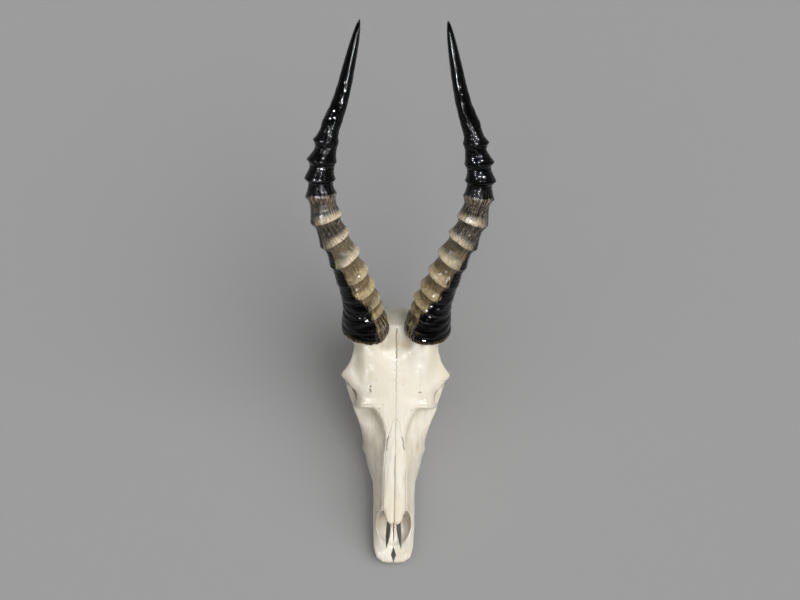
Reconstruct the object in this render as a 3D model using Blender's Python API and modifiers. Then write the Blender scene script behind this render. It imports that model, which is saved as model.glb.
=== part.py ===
# Blesbok skull, cleaned and polished: one skull bone, two horn sheaths and twelve upper cheek teeth.
# It has no lower jaw. It lies on its cheek teeth and on the two bony prongs beside the neck joint.
# Blender's metres, +Z up, the muzzle towards -Y and the animal's own left side towards +X.
# Tables are in millimetres, with y counted back from the tip of the muzzle.

import math

import bmesh
import bpy
import numpy as np
from mathutils import Matrix, Vector

MM = 0.001
SIDES = (("right", -1), ("left", 1))

# Driving sizes
FACE_SLOPE = math.radians(20)
HORN_BASE = Vector((37, 256, 114.5))
PEDICLE_RADIUS = 24.5
TOOTH_TOP = 22
GUM_LINE = 15
FIT_GAP = 0.35
VOXEL = 2.3
SKULL_FACES = 4950

# The face bone by distance from the tip: height of the midline, half width and drop of the top table,
# half width and height of the cheek, half width and height of the lower edge, height of the palate
FACE = (
    (-4, 11.5, 9, 0.5, 15.5, 10.5, 12, 8, 8.5),
    (0, 14, 11, 0.6, 19, 12, 15, 8.5, 9),
    (4, 15.5, 12, 0.8, 21.5, 13, 17, 9, 9),
    (11, 18, 14, 1, 23, 14, 19, 9, 9.5),
    (22, 25, 16, 1.5, 23.2, 17, 20, 9.5, 10.5),
    (41, 40, 17, 2, 23.8, 21, 21, 11, 12),
    (52, 50, 15, 2, 24, 23, 22, 12, 14),
    (81, 61, 13.5, 2, 24.6, 30, 22.5, 14, 17),
    (102, 69, 14, 2, 27, 36, 28, 15, 20),
    (124, 77.5, 15, 3, 33, 44, 34, 15, 22),
    (145, 85.5, 22, 4, 39, 54, 38, 15, 23),
    (160, 91.5, 38, 5, 44.5, 61, 39, 16, 24),
    (168, 94.5, 42, 6, 48, 62, 38.5, 17, 24),
    (176, 97.5, 43, 9, 50.5, 61, 37, 18, 25),
    (184, 100.5, 46, 9.5, 51.5, 58, 33, 22, 28),
    (191, 103, 51.5, 10, 54, 58, 30, 26, 31),
    (199, 106, 58.5, 13.5, 57, 61, 28, 30, 34),
    (207, 109, 62.5, 17, 59.5, 69, 26, 34, 38),
    (213, 111, 57.5, 15, 54, 78, 24, 38, 41),
    (221, 114, 52, 11, 47, 81, 23, 42, 44),
    (230, 117, 49, 9, 45, 82, 21, 45, 47),
    (240, 119, 47, 9, 44, 82, 20, 46, 48),
    (256, 118, 38, 12, 42, 82, 18, 48, 50),
)

# Nasal cavity by distance from the tip: half width, floor, ceiling
CAVITY = (
    (13, 3, 13, 60),
    (18, 9, 13, 60),
    (26, 14, 13.5, 60),
    (38, 18.5, 14.5, 60),
    (50, 19.2, 15.5, 50),
    (57, 16.5, 16, 46),
    (66, 14, 17, 48),
    (80, 13.5, 18.5, 53),
    (100, 12, 24, 61),
    (120, 6, 36, 66),
)

# Nasal bones by distance from the tip: half width, height of the midline
NASALS = ((34.5, 1.6, 44), (36.5, 5, 45), (40, 8.5, 46.3), (47, 11.6, 48.8), (55, 12.6, 51.5), (110, 13, 71))

# Rim round the eye socket, in the face's own frame: out to the side, back along the face, up from it
EYE_RIM = (
    (61, 225, 13),
    (54.5, 214, 18),
    (47.5, 206, 20),
    (42.5, 198, 18),
    (43.5, 190, 10),
    (46.5, 186, -1),
    (50, 193, -11),
    (54.5, 206, -13),
    (58.5, 218, -7),
    (61.5, 226, 3),
)
EYE_RIM_RADIUS = 3.1
CHEEK_ARCH = ((48, 174, 62, 6), (54, 192, 57, 5.5), (55.5, 212, 60, 5), (53, 232, 63, 4.8), (45, 250, 65, 6.5))
NECK_PRONG = ((35, 275, 58, 7.5), (35, 281, 34, 6), (31.5, 284.5, 12, 4.8), (30, 285, -5, 4.2))
SKULL_BASE = ((0, 190, 54, 12), (0, 240, 47, 12), (0, 287, 44, 11))

# Rounded masses of bone as centre and half lengths. Those off the midline are for the left side
MASSES = (
    ((0, 256, 84), (41, 38, 33)),
    ((0, 277, 79), (35, 15.5, 24)),
    ((0, 284, 56), (27, 14, 17)),
    ((0, 250, 100), (24, 34, 18)),
    ((14, 291, 42), (9, 11, 12)),
    ((21, 262, 38), (9, 15, 12)),
    ((22, 234, 102), (27, 28, 17)),
    ((28, 124, 38), (6.2, 11, 8)),
    ((28, 187, 36), (10, 14, 19)),
    ((41, 250, 64), (9, 13, 10)),
    ((38, 271, 60), (9, 11, 17)),
    ((12.5, 194, 37), (2.4, 24, 17)),
)

# Hollows in the same form: eye socket, its depth, temple, throat and neck holes, front slots
HOLLOWS = (
    ((58, 192, 74.5), (27, 16.5, 14)),
    ((36, 196, 75), (17, 12, 11)),
    ((53, 231, 75), (15, 15, 19)),
    ((0, 199, 33), (9.5, 26, 14)),
    ((0, 294, 57), (10, 22, 9.5)),
    ((6.9, 34, 12), (3, 17, 9)),
    ((0, 8, 12), (3, 8.5, 10)),
)
# Pit in front of the eye, in the face's own frame
FACE_PIT = ((40, 159, 33), (27, 30, 20))
MIDLINE_BARS = ((0, 13, 13.5, 2.6), (0, 34, 15.5, 3.2), (0, 62, 19, 3.4))

# Horn axis from the centre of its base: out to the side, back along the face, up from the face
HORN_PATH = (
    (0, 0, 0),
    (4.5, 32, 26),
    (22.5, 78.5, 62),
    (44.5, 123.5, 85),
    (53, 167.5, 99),
    (45.5, 211.5, 111),
    (30, 253.5, 126),
    (19.5, 295.5, 144),
    (10.5, 334.5, 165),
)
# Distance along the horn against its radius over the ring crests
HORN_RADIUS = (
    (0, 28),
    (14, 26),
    (38, 22.6),
    (67, 20),
    (96, 18.3),
    (150, 17.8),
    (200, 17.6),
    (222, 16.8),
    (245, 14.4),
    (255, 11.8),
    (268, 10.2),
    (291, 8.4),
    (337, 5.8),
    (362, 3.7),
    (378, 1.6),
    (384, 0.35),
)
RING_CRESTS = (10, 23, 36, 53, 75, 98, 126, 154, 180, 200, 221, 245)
RING_DEPTH = ((0, 1.2), (30, 2.4), (60, 4.0), (150, 4.4), (245, 4.4))
RING_VALLEY = 0.6
SIDE_SHARE = 0.22
CREST_TURN = ((0, 120), (100, 100), (170, 70), (245, 10))
HORN_SPOKES = 14

# Cheek teeth from front to back: name, length, width
TEETH = (
    ("premolar_2", 8.4, 7.6),
    ("premolar_3", 10.2, 9.4),
    ("premolar_4", 10.6, 11.2),
    ("molar_1", 14.0, 13.0),
    ("molar_2", 16.6, 13.8),
    ("molar_3", 17.6, 13.0),
)
TOOTH_ROW_START = 103.5
TOOTH_GAP = 0.4
TOOTH_ROW_OUT = ((103, 23.5), (125, 27), (150, 30.5), (182, 31.5))
TOOTH_SPOKES = 12

BONE = (0.84, 0.80, 0.70, 1)
HORN_BLACK = (0.018, 0.016, 0.015, 1)
ENAMEL = (0.72, 0.64, 0.48, 1)


def eased(table, at, column=1):
    """Value of one column of a table at a distance, along a smooth curve through its rows."""
    x = np.array([row[0] for row in table], float)
    y = np.array([row[column] for row in table], float)
    slopes = np.diff(y) / np.diff(x)
    tangents = np.concatenate([slopes[:1], (slopes[1:] + slopes[:-1]) / 2, slopes[-1:]])
    flat = np.flatnonzero(slopes[1:] * slopes[:-1] <= 0) + 1
    tangents[flat] = 0
    i = int(np.clip(np.searchsorted(x, at) - 1, 0, len(x) - 2))
    span = x[i + 1] - x[i]
    t = min(max((at - x[i]) / span, 0.0), 1.0)
    start = y[i] * (1 + 2 * t) * (1 - t) ** 2 + tangents[i] * span * t * (1 - t) ** 2
    return float(start + y[i + 1] * t * t * (3 - 2 * t) + tangents[i + 1] * span * t * t * (t - 1))


def material(name, colour, roughness):
    made = bpy.data.materials.new(name)
    made.use_nodes = True
    shader = made.node_tree.nodes["Principled BSDF"]
    shader.inputs["Base Color"].default_value = colour
    shader.inputs["Roughness"].default_value = roughness
    shader.inputs["Metallic"].default_value = 0
    return made


def mesh_object(name, points, faces, collection):
    """A mesh object from points in millimetres."""
    mesh = bpy.data.meshes.new(name)
    mesh.from_pydata([Vector(p) * MM for p in points], [], faces)
    made = bpy.data.objects.new(name, mesh)
    collection.objects.link(made)
    return made


def loft(name, sections, collection):
    """A closed body through sections that all have the same number of points."""
    count = len(sections[0])
    points = [p for section in sections for p in section]
    faces = [tuple(range(count))[::-1]]
    for row in range(len(sections) - 1):
        for i in range(count):
            a, b = row * count + i, row * count + (i + 1) % count
            faces.append((a, b, b + count, a + count))
    last = (len(sections) - 1) * count
    faces.append(tuple(range(last, last + count)))
    made = mesh_object(name, points, faces, collection)
    tidy = bmesh.new()
    tidy.from_mesh(made.data)
    bmesh.ops.recalc_face_normals(tidy, faces=tidy.faces)
    tidy.to_mesh(made.data)
    tidy.free()
    return made


def from_face(x, back, up):
    """The place of a point given in the face's own frame, whose middle axis climbs with the face."""
    turn = Matrix.Rotation(FACE_SLOPE, 3, "X")
    return turn @ Vector((x, back, up))


def ellipsoid(name, centre, half_lengths, collection, slope=0.0):
    ball = bmesh.new()
    turn = Matrix.Rotation(slope, 4, "X")
    place = Matrix.Translation(Vector(centre) * MM) @ turn @ Matrix.Diagonal(Vector(half_lengths) * MM).to_4x4()
    bmesh.ops.create_uvsphere(ball, u_segments=24, v_segments=14, radius=1, matrix=place)
    mesh = bpy.data.meshes.new(name)
    ball.to_mesh(mesh)
    ball.free()
    made = bpy.data.objects.new(name, mesh)
    collection.objects.link(made)
    return made


def tube(name, route, collection, radius=None, cyclic=False):
    """A round bar along a smooth curve. Each point of the route carries its radius unless one is given."""
    curve = bpy.data.curves.new(name, "CURVE")
    curve.dimensions = "3D"
    curve.bevel_depth = MM
    curve.bevel_resolution = 3
    curve.resolution_u = 6
    curve.use_fill_caps = True
    spline = curve.splines.new("BEZIER")
    spline.bezier_points.add(len(route) - 1)
    spline.use_cyclic_u = cyclic
    for point, row in zip(spline.bezier_points, route):
        point.co = Vector(row[:3]) * MM
        point.handle_left_type = point.handle_right_type = "AUTO"
        point.radius = radius or row[3]
    bar = bpy.data.objects.new(name, curve)
    collection.objects.link(bar)
    return as_mesh(bar, collection)


def as_mesh(obj, collection):
    """The object as it looks with its modifiers, as a new plain mesh object with the same name."""
    bpy.context.view_layer.update()
    name = obj.name
    mesh = bpy.data.meshes.new_from_object(obj.evaluated_get(bpy.context.evaluated_depsgraph_get()))
    if obj.type == "CURVE":
        weld = bmesh.new()
        weld.from_mesh(mesh)
        bmesh.ops.remove_doubles(weld, verts=weld.verts, dist=0.01 * MM)
        weld.to_mesh(mesh)
        weld.free()
    place = obj.matrix_world.copy()
    bpy.data.objects.remove(obj)
    made = bpy.data.objects.new(name, mesh)
    made.matrix_world = place
    collection.objects.link(made)
    return made


def joined(name, pieces, collection):
    """One object that holds the pieces' faces side by side."""
    whole = bmesh.new()
    for piece in pieces:
        whole.from_mesh(piece.data)
        bpy.data.objects.remove(piece)
    mesh = bpy.data.meshes.new(name)
    whole.to_mesh(mesh)
    whole.free()
    made = bpy.data.objects.new(name, mesh)
    collection.objects.link(made)
    return made


def grown_together(obj, smoothing, collection):
    """Overlapping bodies made one skin, with the corners between them rounded."""
    remesh = obj.modifiers.new("one skin", "REMESH")
    remesh.mode = "VOXEL"
    remesh.voxel_size = VOXEL * MM
    if smoothing:
        smooth = obj.modifiers.new("rounded", "SMOOTH")
        smooth.factor = 0.5
        smooth.iterations = smoothing
    return as_mesh(obj, collection)


def cut(obj, cutter, name):
    boolean = obj.modifiers.new(name, "BOOLEAN")
    boolean.operation = "DIFFERENCE"
    boolean.object = cutter


def mirrored(place):
    """The centre and its mirror image, or the centre alone if it is on the midline."""
    x, y, z = place[:3]
    return [place] if x == 0 else [(-x, y, z, *place[3:]), place]


def on_side(route, side):
    return [(side * row[0], *row[1:]) for row in route]


def face_section(y):
    top, table, drop, cheek, cheek_z, edge, edge_z, palate = (eased(FACE, y, c) for c in range(1, 9))
    inner = edge - 12 if edge > 24 else edge * 0.6
    half = [
        (0, top),
        (table * 0.55, top - drop * 0.25),
        (table, top - drop),
        (table * 0.55 + cheek * 0.5, (top - drop + cheek_z) / 2),
        (cheek, cheek_z),
        (edge, edge_z + 0.35 * (cheek_z - edge_z)),
        (edge - 0.5, edge_z),
        (inner, edge_z),
        (inner - 3, palate),
        (0, palate),
    ]
    right = [(-x, y, z) for x, z in half[-2:0:-1]]
    return [(x, y, z) for x, z in half] + right


def face_block(collection):
    stations = np.linspace(FACE[0][0], FACE[-1][0], 80)
    return loft("face block", [face_section(float(y)) for y in stations], collection)


def cavity(collection):
    sections = []
    for y, half, floor, ceiling in CAVITY:
        middle, rise = (floor + ceiling) / 2, (ceiling - floor) / 2
        turns = [2 * math.pi * i / 16 for i in range(16)]
        sections.append(
            [
                (
                    half * math.copysign(abs(math.cos(a)) ** 0.6, math.cos(a)),
                    y,
                    middle + rise * math.copysign(abs(math.sin(a)) ** 0.6, math.sin(a)),
                )
                for a in turns
            ]
        )
    return loft("nasal cavity", sections, collection)


def nasal_bones(collection):
    """The arched plate over the nose, with a free front end that narrows to a point."""
    thick, arch = 3.8, 0.5
    sections = []
    for y in np.linspace(NASALS[0][0], NASALS[-1][0], 26):
        half, top = eased(NASALS, y, 1), eased(NASALS, y, 2)
        across = np.linspace(-1, 1, 9)
        upper = [(half * s, y, top - arch * 4 * abs(s) ** 3) for s in across]
        lower = [(half * s, y, top - thick - arch * 4 * abs(s) ** 3) for s in across[::-1]]
        sections.append(upper + lower)
    return loft("nasal bones", sections, collection)


def pedicle(side, collection):
    """The bony stalk under a horn. It leans outwards, runs past the horn's foot and is cut level there."""
    foot, forward = horn_base(side), horn_direction(side)
    turn = forward.to_track_quat("Z", "Y").to_matrix()
    length = 36
    root = foot - forward * length - Vector((side * 8, 0, 0))
    sections = []
    for share, radius in ((0, 15), (0.35, 18.5), (0.7, 22), (1, PEDICLE_RADIUS), (1.2, PEDICLE_RADIUS)):
        middle = root.lerp(foot, min(share, 1)) + forward * (length * max(share - 1, 0))
        turns = [2 * math.pi * i / 28 for i in range(28)]
        sections.append([middle + turn @ Vector((math.cos(a), math.sin(a), 0)) * radius for a in turns])
    return loft("pedicle", sections, collection)


def horn_base(side):
    return Vector((side * HORN_BASE.x, HORN_BASE.y, HORN_BASE.z))


def horn_axis(side):
    """Points along the middle of a horn, about a millimetre apart, and the distance of each from the base."""
    keys = np.array(HORN_PATH, float)
    steps = np.concatenate([[0], np.cumsum(np.linalg.norm(np.diff(keys, axis=0), axis=1))])
    tables = [list(zip(steps, keys[:, axis])) for axis in range(3)]
    fine = np.linspace(0, steps[-1], 400)
    out, back, up = (np.array([eased(table, s) for s in fine]) for table in tables)
    y = back * math.cos(FACE_SLOPE) - up * math.sin(FACE_SLOPE)
    z = back * math.sin(FACE_SLOPE) + up * math.cos(FACE_SLOPE)
    points = np.stack([side * out, y, z], axis=1) + np.array(horn_base(side))
    along = np.concatenate([[0], np.cumsum(np.linalg.norm(np.diff(points, axis=0), axis=1))])
    return points, along * (HORN_RADIUS[-1][0] / along[-1])


def horn_direction(side):
    points, _ = horn_axis(side)
    return Vector(points[6] - points[0]).normalized()


def ring_valley(distance):
    """How deep between two ring crests a point lies, from 0 on a crest to 1 at the bottom."""
    crests = (-8, *RING_CRESTS)
    after = next((i for i, crest in enumerate(crests) if crest > distance), None)
    if after is None:
        return 0.0
    low, high = crests[after - 1], crests[after]
    share = ((distance - low) / (high - low)) ** (math.log(0.5) / math.log(RING_VALLEY))
    return 1 - abs(2 * share - 1) ** 1.7


def horn_radius(distance, angle):
    """Radius at a distance from the base and an angle from the outer side towards the front."""
    radius = eased(HORN_RADIUS, distance)
    front = math.radians(eased(CREST_TURN, min(distance, CREST_TURN[-1][0])))
    facing = SIDE_SHARE + (1 - SIDE_SHARE) * (1 + math.cos(angle - front)) / 2
    return radius - eased(RING_DEPTH, min(distance, RING_DEPTH[-1][0])) * facing * ring_valley(distance)


def horn_stations():
    """Distances of the horn's sections: four to each ring, then even steps up the smooth tip."""
    crests = (0, *RING_CRESTS)
    found = []
    for low, high in zip(crests, crests[1:]):
        found += [low + (high - low) * share for share in (0, 0.3, RING_VALLEY, 0.84)]
    end = HORN_RADIUS[-1][0]
    return found + [crests[-1], *np.linspace(crests[-1] + 7, end, 12)]


def horn(name, side, collection):
    points, along = horn_axis(side)
    camera_side = Vector((0, -math.sin(FACE_SLOPE), math.cos(FACE_SLOPE)))
    sections = []
    for distance in horn_stations():
        middle = Vector([np.interp(distance, along, points[:, axis]) for axis in range(3)])
        ahead = Vector([np.interp(distance + 3, along, points[:, axis]) for axis in range(3)])
        behind = Vector([np.interp(distance - 3, along, points[:, axis]) for axis in range(3)])
        forward = (ahead - behind).normalized() if distance > 3 else horn_direction(side)
        front = (camera_side - forward * camera_side.dot(forward)).normalized()
        outer = front.cross(forward) * side
        outer = outer if outer.x * side > 0 else -outer
        section = []
        for i in range(HORN_SPOKES):
            angle = 2 * math.pi * i / HORN_SPOKES
            reach = horn_radius(distance, angle)
            section.append(middle + (outer * math.cos(angle) + front * math.sin(angle)) * reach)
        sections.append(section)
    return loft(name, sections, collection)


def tooth_places():
    """Name, middle of the crown, length and width of each tooth of the left row."""
    start = TOOTH_ROW_START
    for name, length, width in TEETH:
        middle = start + length / 2
        yield name, Vector((eased(TOOTH_ROW_OUT, middle), middle, 0)), length, width
        start += length + TOOTH_GAP


def tooth_section(centre, length, width, z, scale, corner=0.62):
    section = []
    for i in range(TOOTH_SPOKES):
        angle = 2 * math.pi * i / TOOTH_SPOKES
        c, s = math.cos(angle), math.sin(angle)
        x = math.copysign(abs(c) ** corner, c) * width / 2 * scale
        y = math.copysign(abs(s) ** corner, s) * length / 2 * scale
        section.append((centre.x + x, centre.y + y, z))
    return section


def tooth(name, side, centre, length, width, collection):
    """A tooth with a flat, worn chewing face at z = 0, a crown and the root that its socket holds."""
    middle = Vector((side * centre.x, centre.y, 0))
    levels = ((0, 0.93), (4, 1.0), (GUM_LINE, 0.99), (TOOTH_TOP, 0.84))
    sections = [tooth_section(middle, length, width, z, scale) for z, scale in levels]
    return loft(name, sections, collection)


def socket_row(side, collection):
    """The trough in the jaw that holds one row of teeth, a little wider than the teeth."""
    rows = [(centre.y, centre.x, width / 2 + FIT_GAP) for _, centre, _, width in tooth_places()]
    first, last = list(tooth_places())[0], list(tooth_places())[-1]
    start = first[1].y - first[2] / 2 - FIT_GAP
    end = last[1].y + last[2] / 2 + FIT_GAP
    low, high = GUM_LINE - 10, TOOTH_TOP + FIT_GAP
    sections = []
    for y in (start, *(row[0] for row in rows), end):
        nearest = min(rows, key=lambda row: abs(row[0] - y))
        middle, half = eased(TOOTH_ROW_OUT, y), nearest[2]
        xs = (side * middle - half, side * middle + half)
        sections.append([(xs[0], y, low), (xs[1], y, low), (xs[1], y, high), (xs[0], y, high)])
    return loft("socket row", sections, collection)


def horn_seat(side, collection):
    """A short cylinder whose lower end levels the pedicle, just under the horn's foot."""
    depth = 16
    forward = horn_direction(side)
    turn = forward.to_track_quat("Z", "Y").to_matrix().to_4x4()
    place = Matrix.Translation((horn_base(side) + forward * (depth / 2 - FIT_GAP)) * MM) @ turn
    disc = bmesh.new()
    bmesh.ops.create_cone(
        disc,
        segments=24,
        radius1=31 * MM,
        radius2=31 * MM,
        depth=depth * MM,
        cap_ends=True,
        matrix=place,
    )
    mesh = bpy.data.meshes.new("horn seat")
    disc.to_mesh(mesh)
    disc.free()
    made = bpy.data.objects.new("horn seat", mesh)
    collection.objects.link(made)
    return made


def floor_block(collection):
    """Everything below z = 0, which leaves the two neck prongs with flat ends."""
    corners = [(-60, 260), (60, 260), (60, 305), (-60, 305)]
    return loft("floor block", [[(x, y, z) for x, y in corners] for z in (-30, 0)], collection)


def hide(obj):
    obj.hide_render = True
    obj.display_type = "WIRE"


def skull(collection, helpers):
    solids = [face_block(helpers), tube("skull base", SKULL_BASE, helpers)]
    for centre, half_lengths in MASSES:
        solids += [ellipsoid("mass", place, half_lengths, helpers) for place in mirrored(centre)]
    for _, side in SIDES:
        solids.append(tube("cheek arch", on_side(CHEEK_ARCH, side), helpers))
        solids.append(tube("neck prong", on_side(NECK_PRONG, side), helpers))
        solids.append(pedicle(side, helpers))
    bone = grown_together(joined("bone", solids, helpers), 0, helpers)

    hollows = [cavity(helpers)]
    for centre, half_lengths in HOLLOWS:
        hollows += [ellipsoid("hollow", place, half_lengths, helpers) for place in mirrored(centre)]
    for x, back, up in mirrored(FACE_PIT[0]):
        hollows.append(ellipsoid("pit", from_face(x, back, up), FACE_PIT[1], helpers, FACE_SLOPE))
    hollow = grown_together(joined("hollows", hollows, helpers), 0, helpers)
    cut(bone, hollow, "hollows")
    bone = as_mesh(bone, helpers)
    hide(hollow)

    late = [bone, nasal_bones(helpers), tube("midline bars", MIDLINE_BARS, helpers)]
    for _, side in SIDES:
        rim = [from_face(side * x, back, up) for x, back, up in EYE_RIM]
        late.append(tube("eye rim", rim, helpers, radius=EYE_RIM_RADIUS, cyclic=True))
    whole = grown_together(joined("skull", late, helpers), 5, helpers)
    thin = whole.modifiers.new("fewer faces", "DECIMATE")
    thin.ratio = SKULL_FACES / (2 * len(whole.data.polygons))
    even = whole.modifiers.new("same on both sides", "MIRROR")
    even.use_bisect_axis[0] = True
    even.merge_threshold = 0.05 * MM
    whole = as_mesh(whole, collection)
    fits = [maker(side, helpers) for _, side in SIDES for maker in (horn_seat, socket_row)]
    for number, cutter in enumerate([*fits, floor_block(helpers)]):
        cut(whole, cutter, f"fit {number}")
        hide(cutter)
    return whole


def build():
    for old in list(bpy.data.objects):
        bpy.data.objects.remove(old)
    scene = bpy.context.scene.collection
    parts = bpy.data.collections.new("blesbok skull")
    helpers = bpy.data.collections.new("cutters")
    scene.children.link(parts)
    scene.children.link(helpers)
    bone = material("bone", BONE, 0.35)
    sheath = material("horn", HORN_BLACK, 0.15)
    enamel = material("enamel", ENAMEL, 0.3)

    whole = skull(parts, helpers)
    whole.name = "skull"
    whole.data.materials.clear()
    whole.data.materials.append(bone)
    nodes = [whole]
    for side_name, side in SIDES:
        sheathed = horn(f"{side_name}_horn", side, parts)
        sheathed.data.materials.append(sheath)
        nodes.append(sheathed)
        for name, centre, length, width in tooth_places():
            made = tooth(f"{side_name}_{name}", side, centre, length, width, parts)
            made.data.materials.append(enamel)
            nodes.append(made)
    for node in nodes:
        node.data.shade_smooth()
        node.data.set_sharp_from_angle(angle=math.radians(40))
    centred(nodes, list(helpers.objects), scene)


def centred(nodes, cutters, collection):
    """Stands the whole on the middle of its bounding box's lower face, through an empty that carries it."""
    bpy.context.view_layer.update()
    backs = [(node.matrix_world @ Vector(corner)).y for node in nodes for corner in node.bound_box]
    middle = bpy.data.objects.new("middle", None)
    collection.objects.link(middle)
    for obj in [*nodes, *cutters]:
        obj.parent = middle
    middle.location.y = -(min(backs) + max(backs)) / 2


build()
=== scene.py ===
# Polished blesbok skull without its lower jaw, lying on its cheek teeth and the two prongs beside the neck joint.
# Pieces are built in millimetres, counted back from the tip of the muzzle, and end up in the frame's metres.

import math

import bmesh
import bpy
import numpy as np
from mathutils import Matrix, Vector, noise
from mathutils.bvhtree import BVHTree


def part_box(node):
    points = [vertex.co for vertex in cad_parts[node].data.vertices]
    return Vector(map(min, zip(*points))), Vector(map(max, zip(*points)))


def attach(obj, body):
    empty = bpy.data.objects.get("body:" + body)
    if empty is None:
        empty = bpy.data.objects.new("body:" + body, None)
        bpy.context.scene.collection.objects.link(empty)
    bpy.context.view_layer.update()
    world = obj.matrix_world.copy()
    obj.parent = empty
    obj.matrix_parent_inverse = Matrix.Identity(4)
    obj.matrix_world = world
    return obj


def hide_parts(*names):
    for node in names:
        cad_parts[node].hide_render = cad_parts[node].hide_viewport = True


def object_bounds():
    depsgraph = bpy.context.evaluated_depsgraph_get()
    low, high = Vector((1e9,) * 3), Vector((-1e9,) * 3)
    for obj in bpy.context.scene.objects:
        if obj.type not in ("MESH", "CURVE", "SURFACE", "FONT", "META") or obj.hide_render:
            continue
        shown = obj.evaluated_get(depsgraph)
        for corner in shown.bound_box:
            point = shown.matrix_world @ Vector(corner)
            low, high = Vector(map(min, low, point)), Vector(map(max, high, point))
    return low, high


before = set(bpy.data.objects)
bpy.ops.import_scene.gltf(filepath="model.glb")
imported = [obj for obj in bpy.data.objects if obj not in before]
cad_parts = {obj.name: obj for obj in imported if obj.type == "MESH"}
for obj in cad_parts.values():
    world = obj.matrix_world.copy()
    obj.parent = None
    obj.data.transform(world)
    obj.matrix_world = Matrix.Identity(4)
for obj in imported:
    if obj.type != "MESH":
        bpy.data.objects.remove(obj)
cadLow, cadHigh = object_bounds()

mm = 0.001
faceSlope = math.radians(20)  # how steeply the face climbs from the muzzle to the horns
sides = {"right": -1, "left": 1}
upFace = Vector((0, math.cos(faceSlope), math.sin(faceSlope)))
offFace = Vector((0, -math.sin(faceSlope), math.cos(faceSlope)))

cheekTeeth = {
    "names": ("premolar_2", "premolar_3", "premolar_4", "molar_1", "molar_2", "molar_3"),
    "lengths": (8.4, 10.2, 10.6, 14.0, 16.6, 17.6),
    "widths": (7.6, 9.4, 11.2, 13.0, 13.8, 13.0),
    "rowStart": 103.5,
    "gap": 0.4,
    "rowOut": ((103, 23.5), (125, 27), (150, 30.5), (182, 31.5)),  # distance back, distance from the midline
    "gumLine": 15,
    "rootTop": 22,
    "spokes": 72,
    "wallSteps": 22,
    "faceSteps": 20,
}


# Value of one column of a table at a distance, along a smooth curve through its rows
def eased(table, at, column=1):
    x = np.array([row[0] for row in table], float)
    y = np.array([row[column] for row in table], float)
    slopes = np.diff(y) / np.diff(x)
    tangents = np.concatenate([slopes[:1], (slopes[1:] + slopes[:-1]) / 2, slopes[-1:]])
    tangents[np.flatnonzero(slopes[1:] * slopes[:-1] <= 0) + 1] = 0
    at = np.asarray(at, float)
    i = np.clip(np.searchsorted(x, at) - 1, 0, len(x) - 2)
    span = x[i + 1] - x[i]
    t = np.clip((at - x[i]) / span, 0, 1)
    start = y[i] * (1 + 2 * t) * (1 - t) ** 2 + tangents[i] * span * t * (1 - t) ** 2
    return start + y[i + 1] * t * t * (3 - 2 * t) + tangents[i + 1] * span * t * t * (t - 1)


# 0 below the first value, 1 above the second, smooth between
def ramp(low, high, value):
    t = np.clip((value - low) / (high - low), 0, 1)
    return t * t * (3 - 2 * t)


def toothPlaces():
    start = cheekTeeth["rowStart"]
    for name, length, width in zip(cheekTeeth["names"], cheekTeeth["lengths"], cheekTeeth["widths"]):
        back = start + length / 2
        yield name, float(eased(cheekTeeth["rowOut"], back)), back, length, width
        start += length + cheekTeeth["gap"]


# Where the tip of the muzzle is in the frame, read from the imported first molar
def findMuzzle():
    low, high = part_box("left_molar_1")
    back = next(place[2] for place in toothPlaces() if place[0] == "molar_1")
    return (low.y + high.y) / 2 / mm - back


muzzleAt = findMuzzle()
print("muzzle tip at", round(muzzleAt, 2), "mm")


# Shaders and node trees
def addNode(tree, kind, inputs=None, **settings):
    made = tree.nodes.new(kind)
    for key, value in settings.items():
        setattr(made, key, value)
    for key, value in (inputs or {}).items():
        socket = made.inputs[key]
        if isinstance(value, bpy.types.NodeSocket):
            tree.links.new(value, socket)
        else:
            socket.default_value = value
    return made


def calc(tree, operation, *values, clamp=False):
    made = addNode(tree, "ShaderNodeMath", dict(enumerate(values)), operation=operation)
    made.use_clamp = clamp
    return made.outputs[0]


def times(tree, first, second, clamp=False):
    return calc(tree, "MULTIPLY", first, second, clamp=clamp)


def plus(tree, first, second):
    return calc(tree, "ADD", first, second)


def minus(tree, first, second):
    return calc(tree, "SUBTRACT", first, second)


def calcVector(tree, operation, *values):
    made = addNode(tree, "ShaderNodeVectorMath", dict(enumerate(values)), operation=operation)
    return made.outputs["Value" if operation in ("DOT_PRODUCT", "LENGTH", "DISTANCE") else "Vector"]


def scaled(tree, vector, amount):
    return addNode(tree, "ShaderNodeVectorMath", {0: vector, "Scale": amount}, operation="SCALE").outputs[0]


def separated(tree, vector):
    return addNode(tree, "ShaderNodeSeparateXYZ", {0: vector}).outputs


# Smooth step of a value between two limits, as a node
def step(tree, value, low, high, outLow=0.0, outHigh=1.0):
    made = addNode(tree, "ShaderNodeMapRange", {0: value, 1: low, 2: high, 3: outLow, 4: outHigh})
    made.interpolation_type = "SMOOTHSTEP"
    return made.outputs[0]


def blend(tree, share, first, second, how="MIX"):
    made = tree.nodes.new("ShaderNodeMix")
    made.data_type = "RGBA"
    made.blend_type = how
    for socket, value in ((made.inputs[0], share), (made.inputs[6], first), (made.inputs[7], second)):
        if isinstance(value, bpy.types.NodeSocket):
            tree.links.new(value, socket)
        else:
            socket.default_value = value if isinstance(value, float) else (*value[:3], 1)
    return made.outputs[2]


def noiseNode(tree, vector, scale, detail=2.0, roughness=0.5, distortion=0.0):
    inputs = {"Vector": vector, "Scale": scale, "Detail": detail, "Roughness": roughness, "Distortion": distortion}
    return addNode(tree, "ShaderNodeTexNoise", inputs).outputs[0]


def attribute(tree, name, output="Fac"):
    return addNode(tree, "ShaderNodeAttribute", attribute_name=name).outputs[output]


def newMaterial(name):
    made = bpy.data.materials.new(name)
    made.use_nodes = True
    return made, made.node_tree, made.node_tree.nodes["Principled BSDF"]


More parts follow.
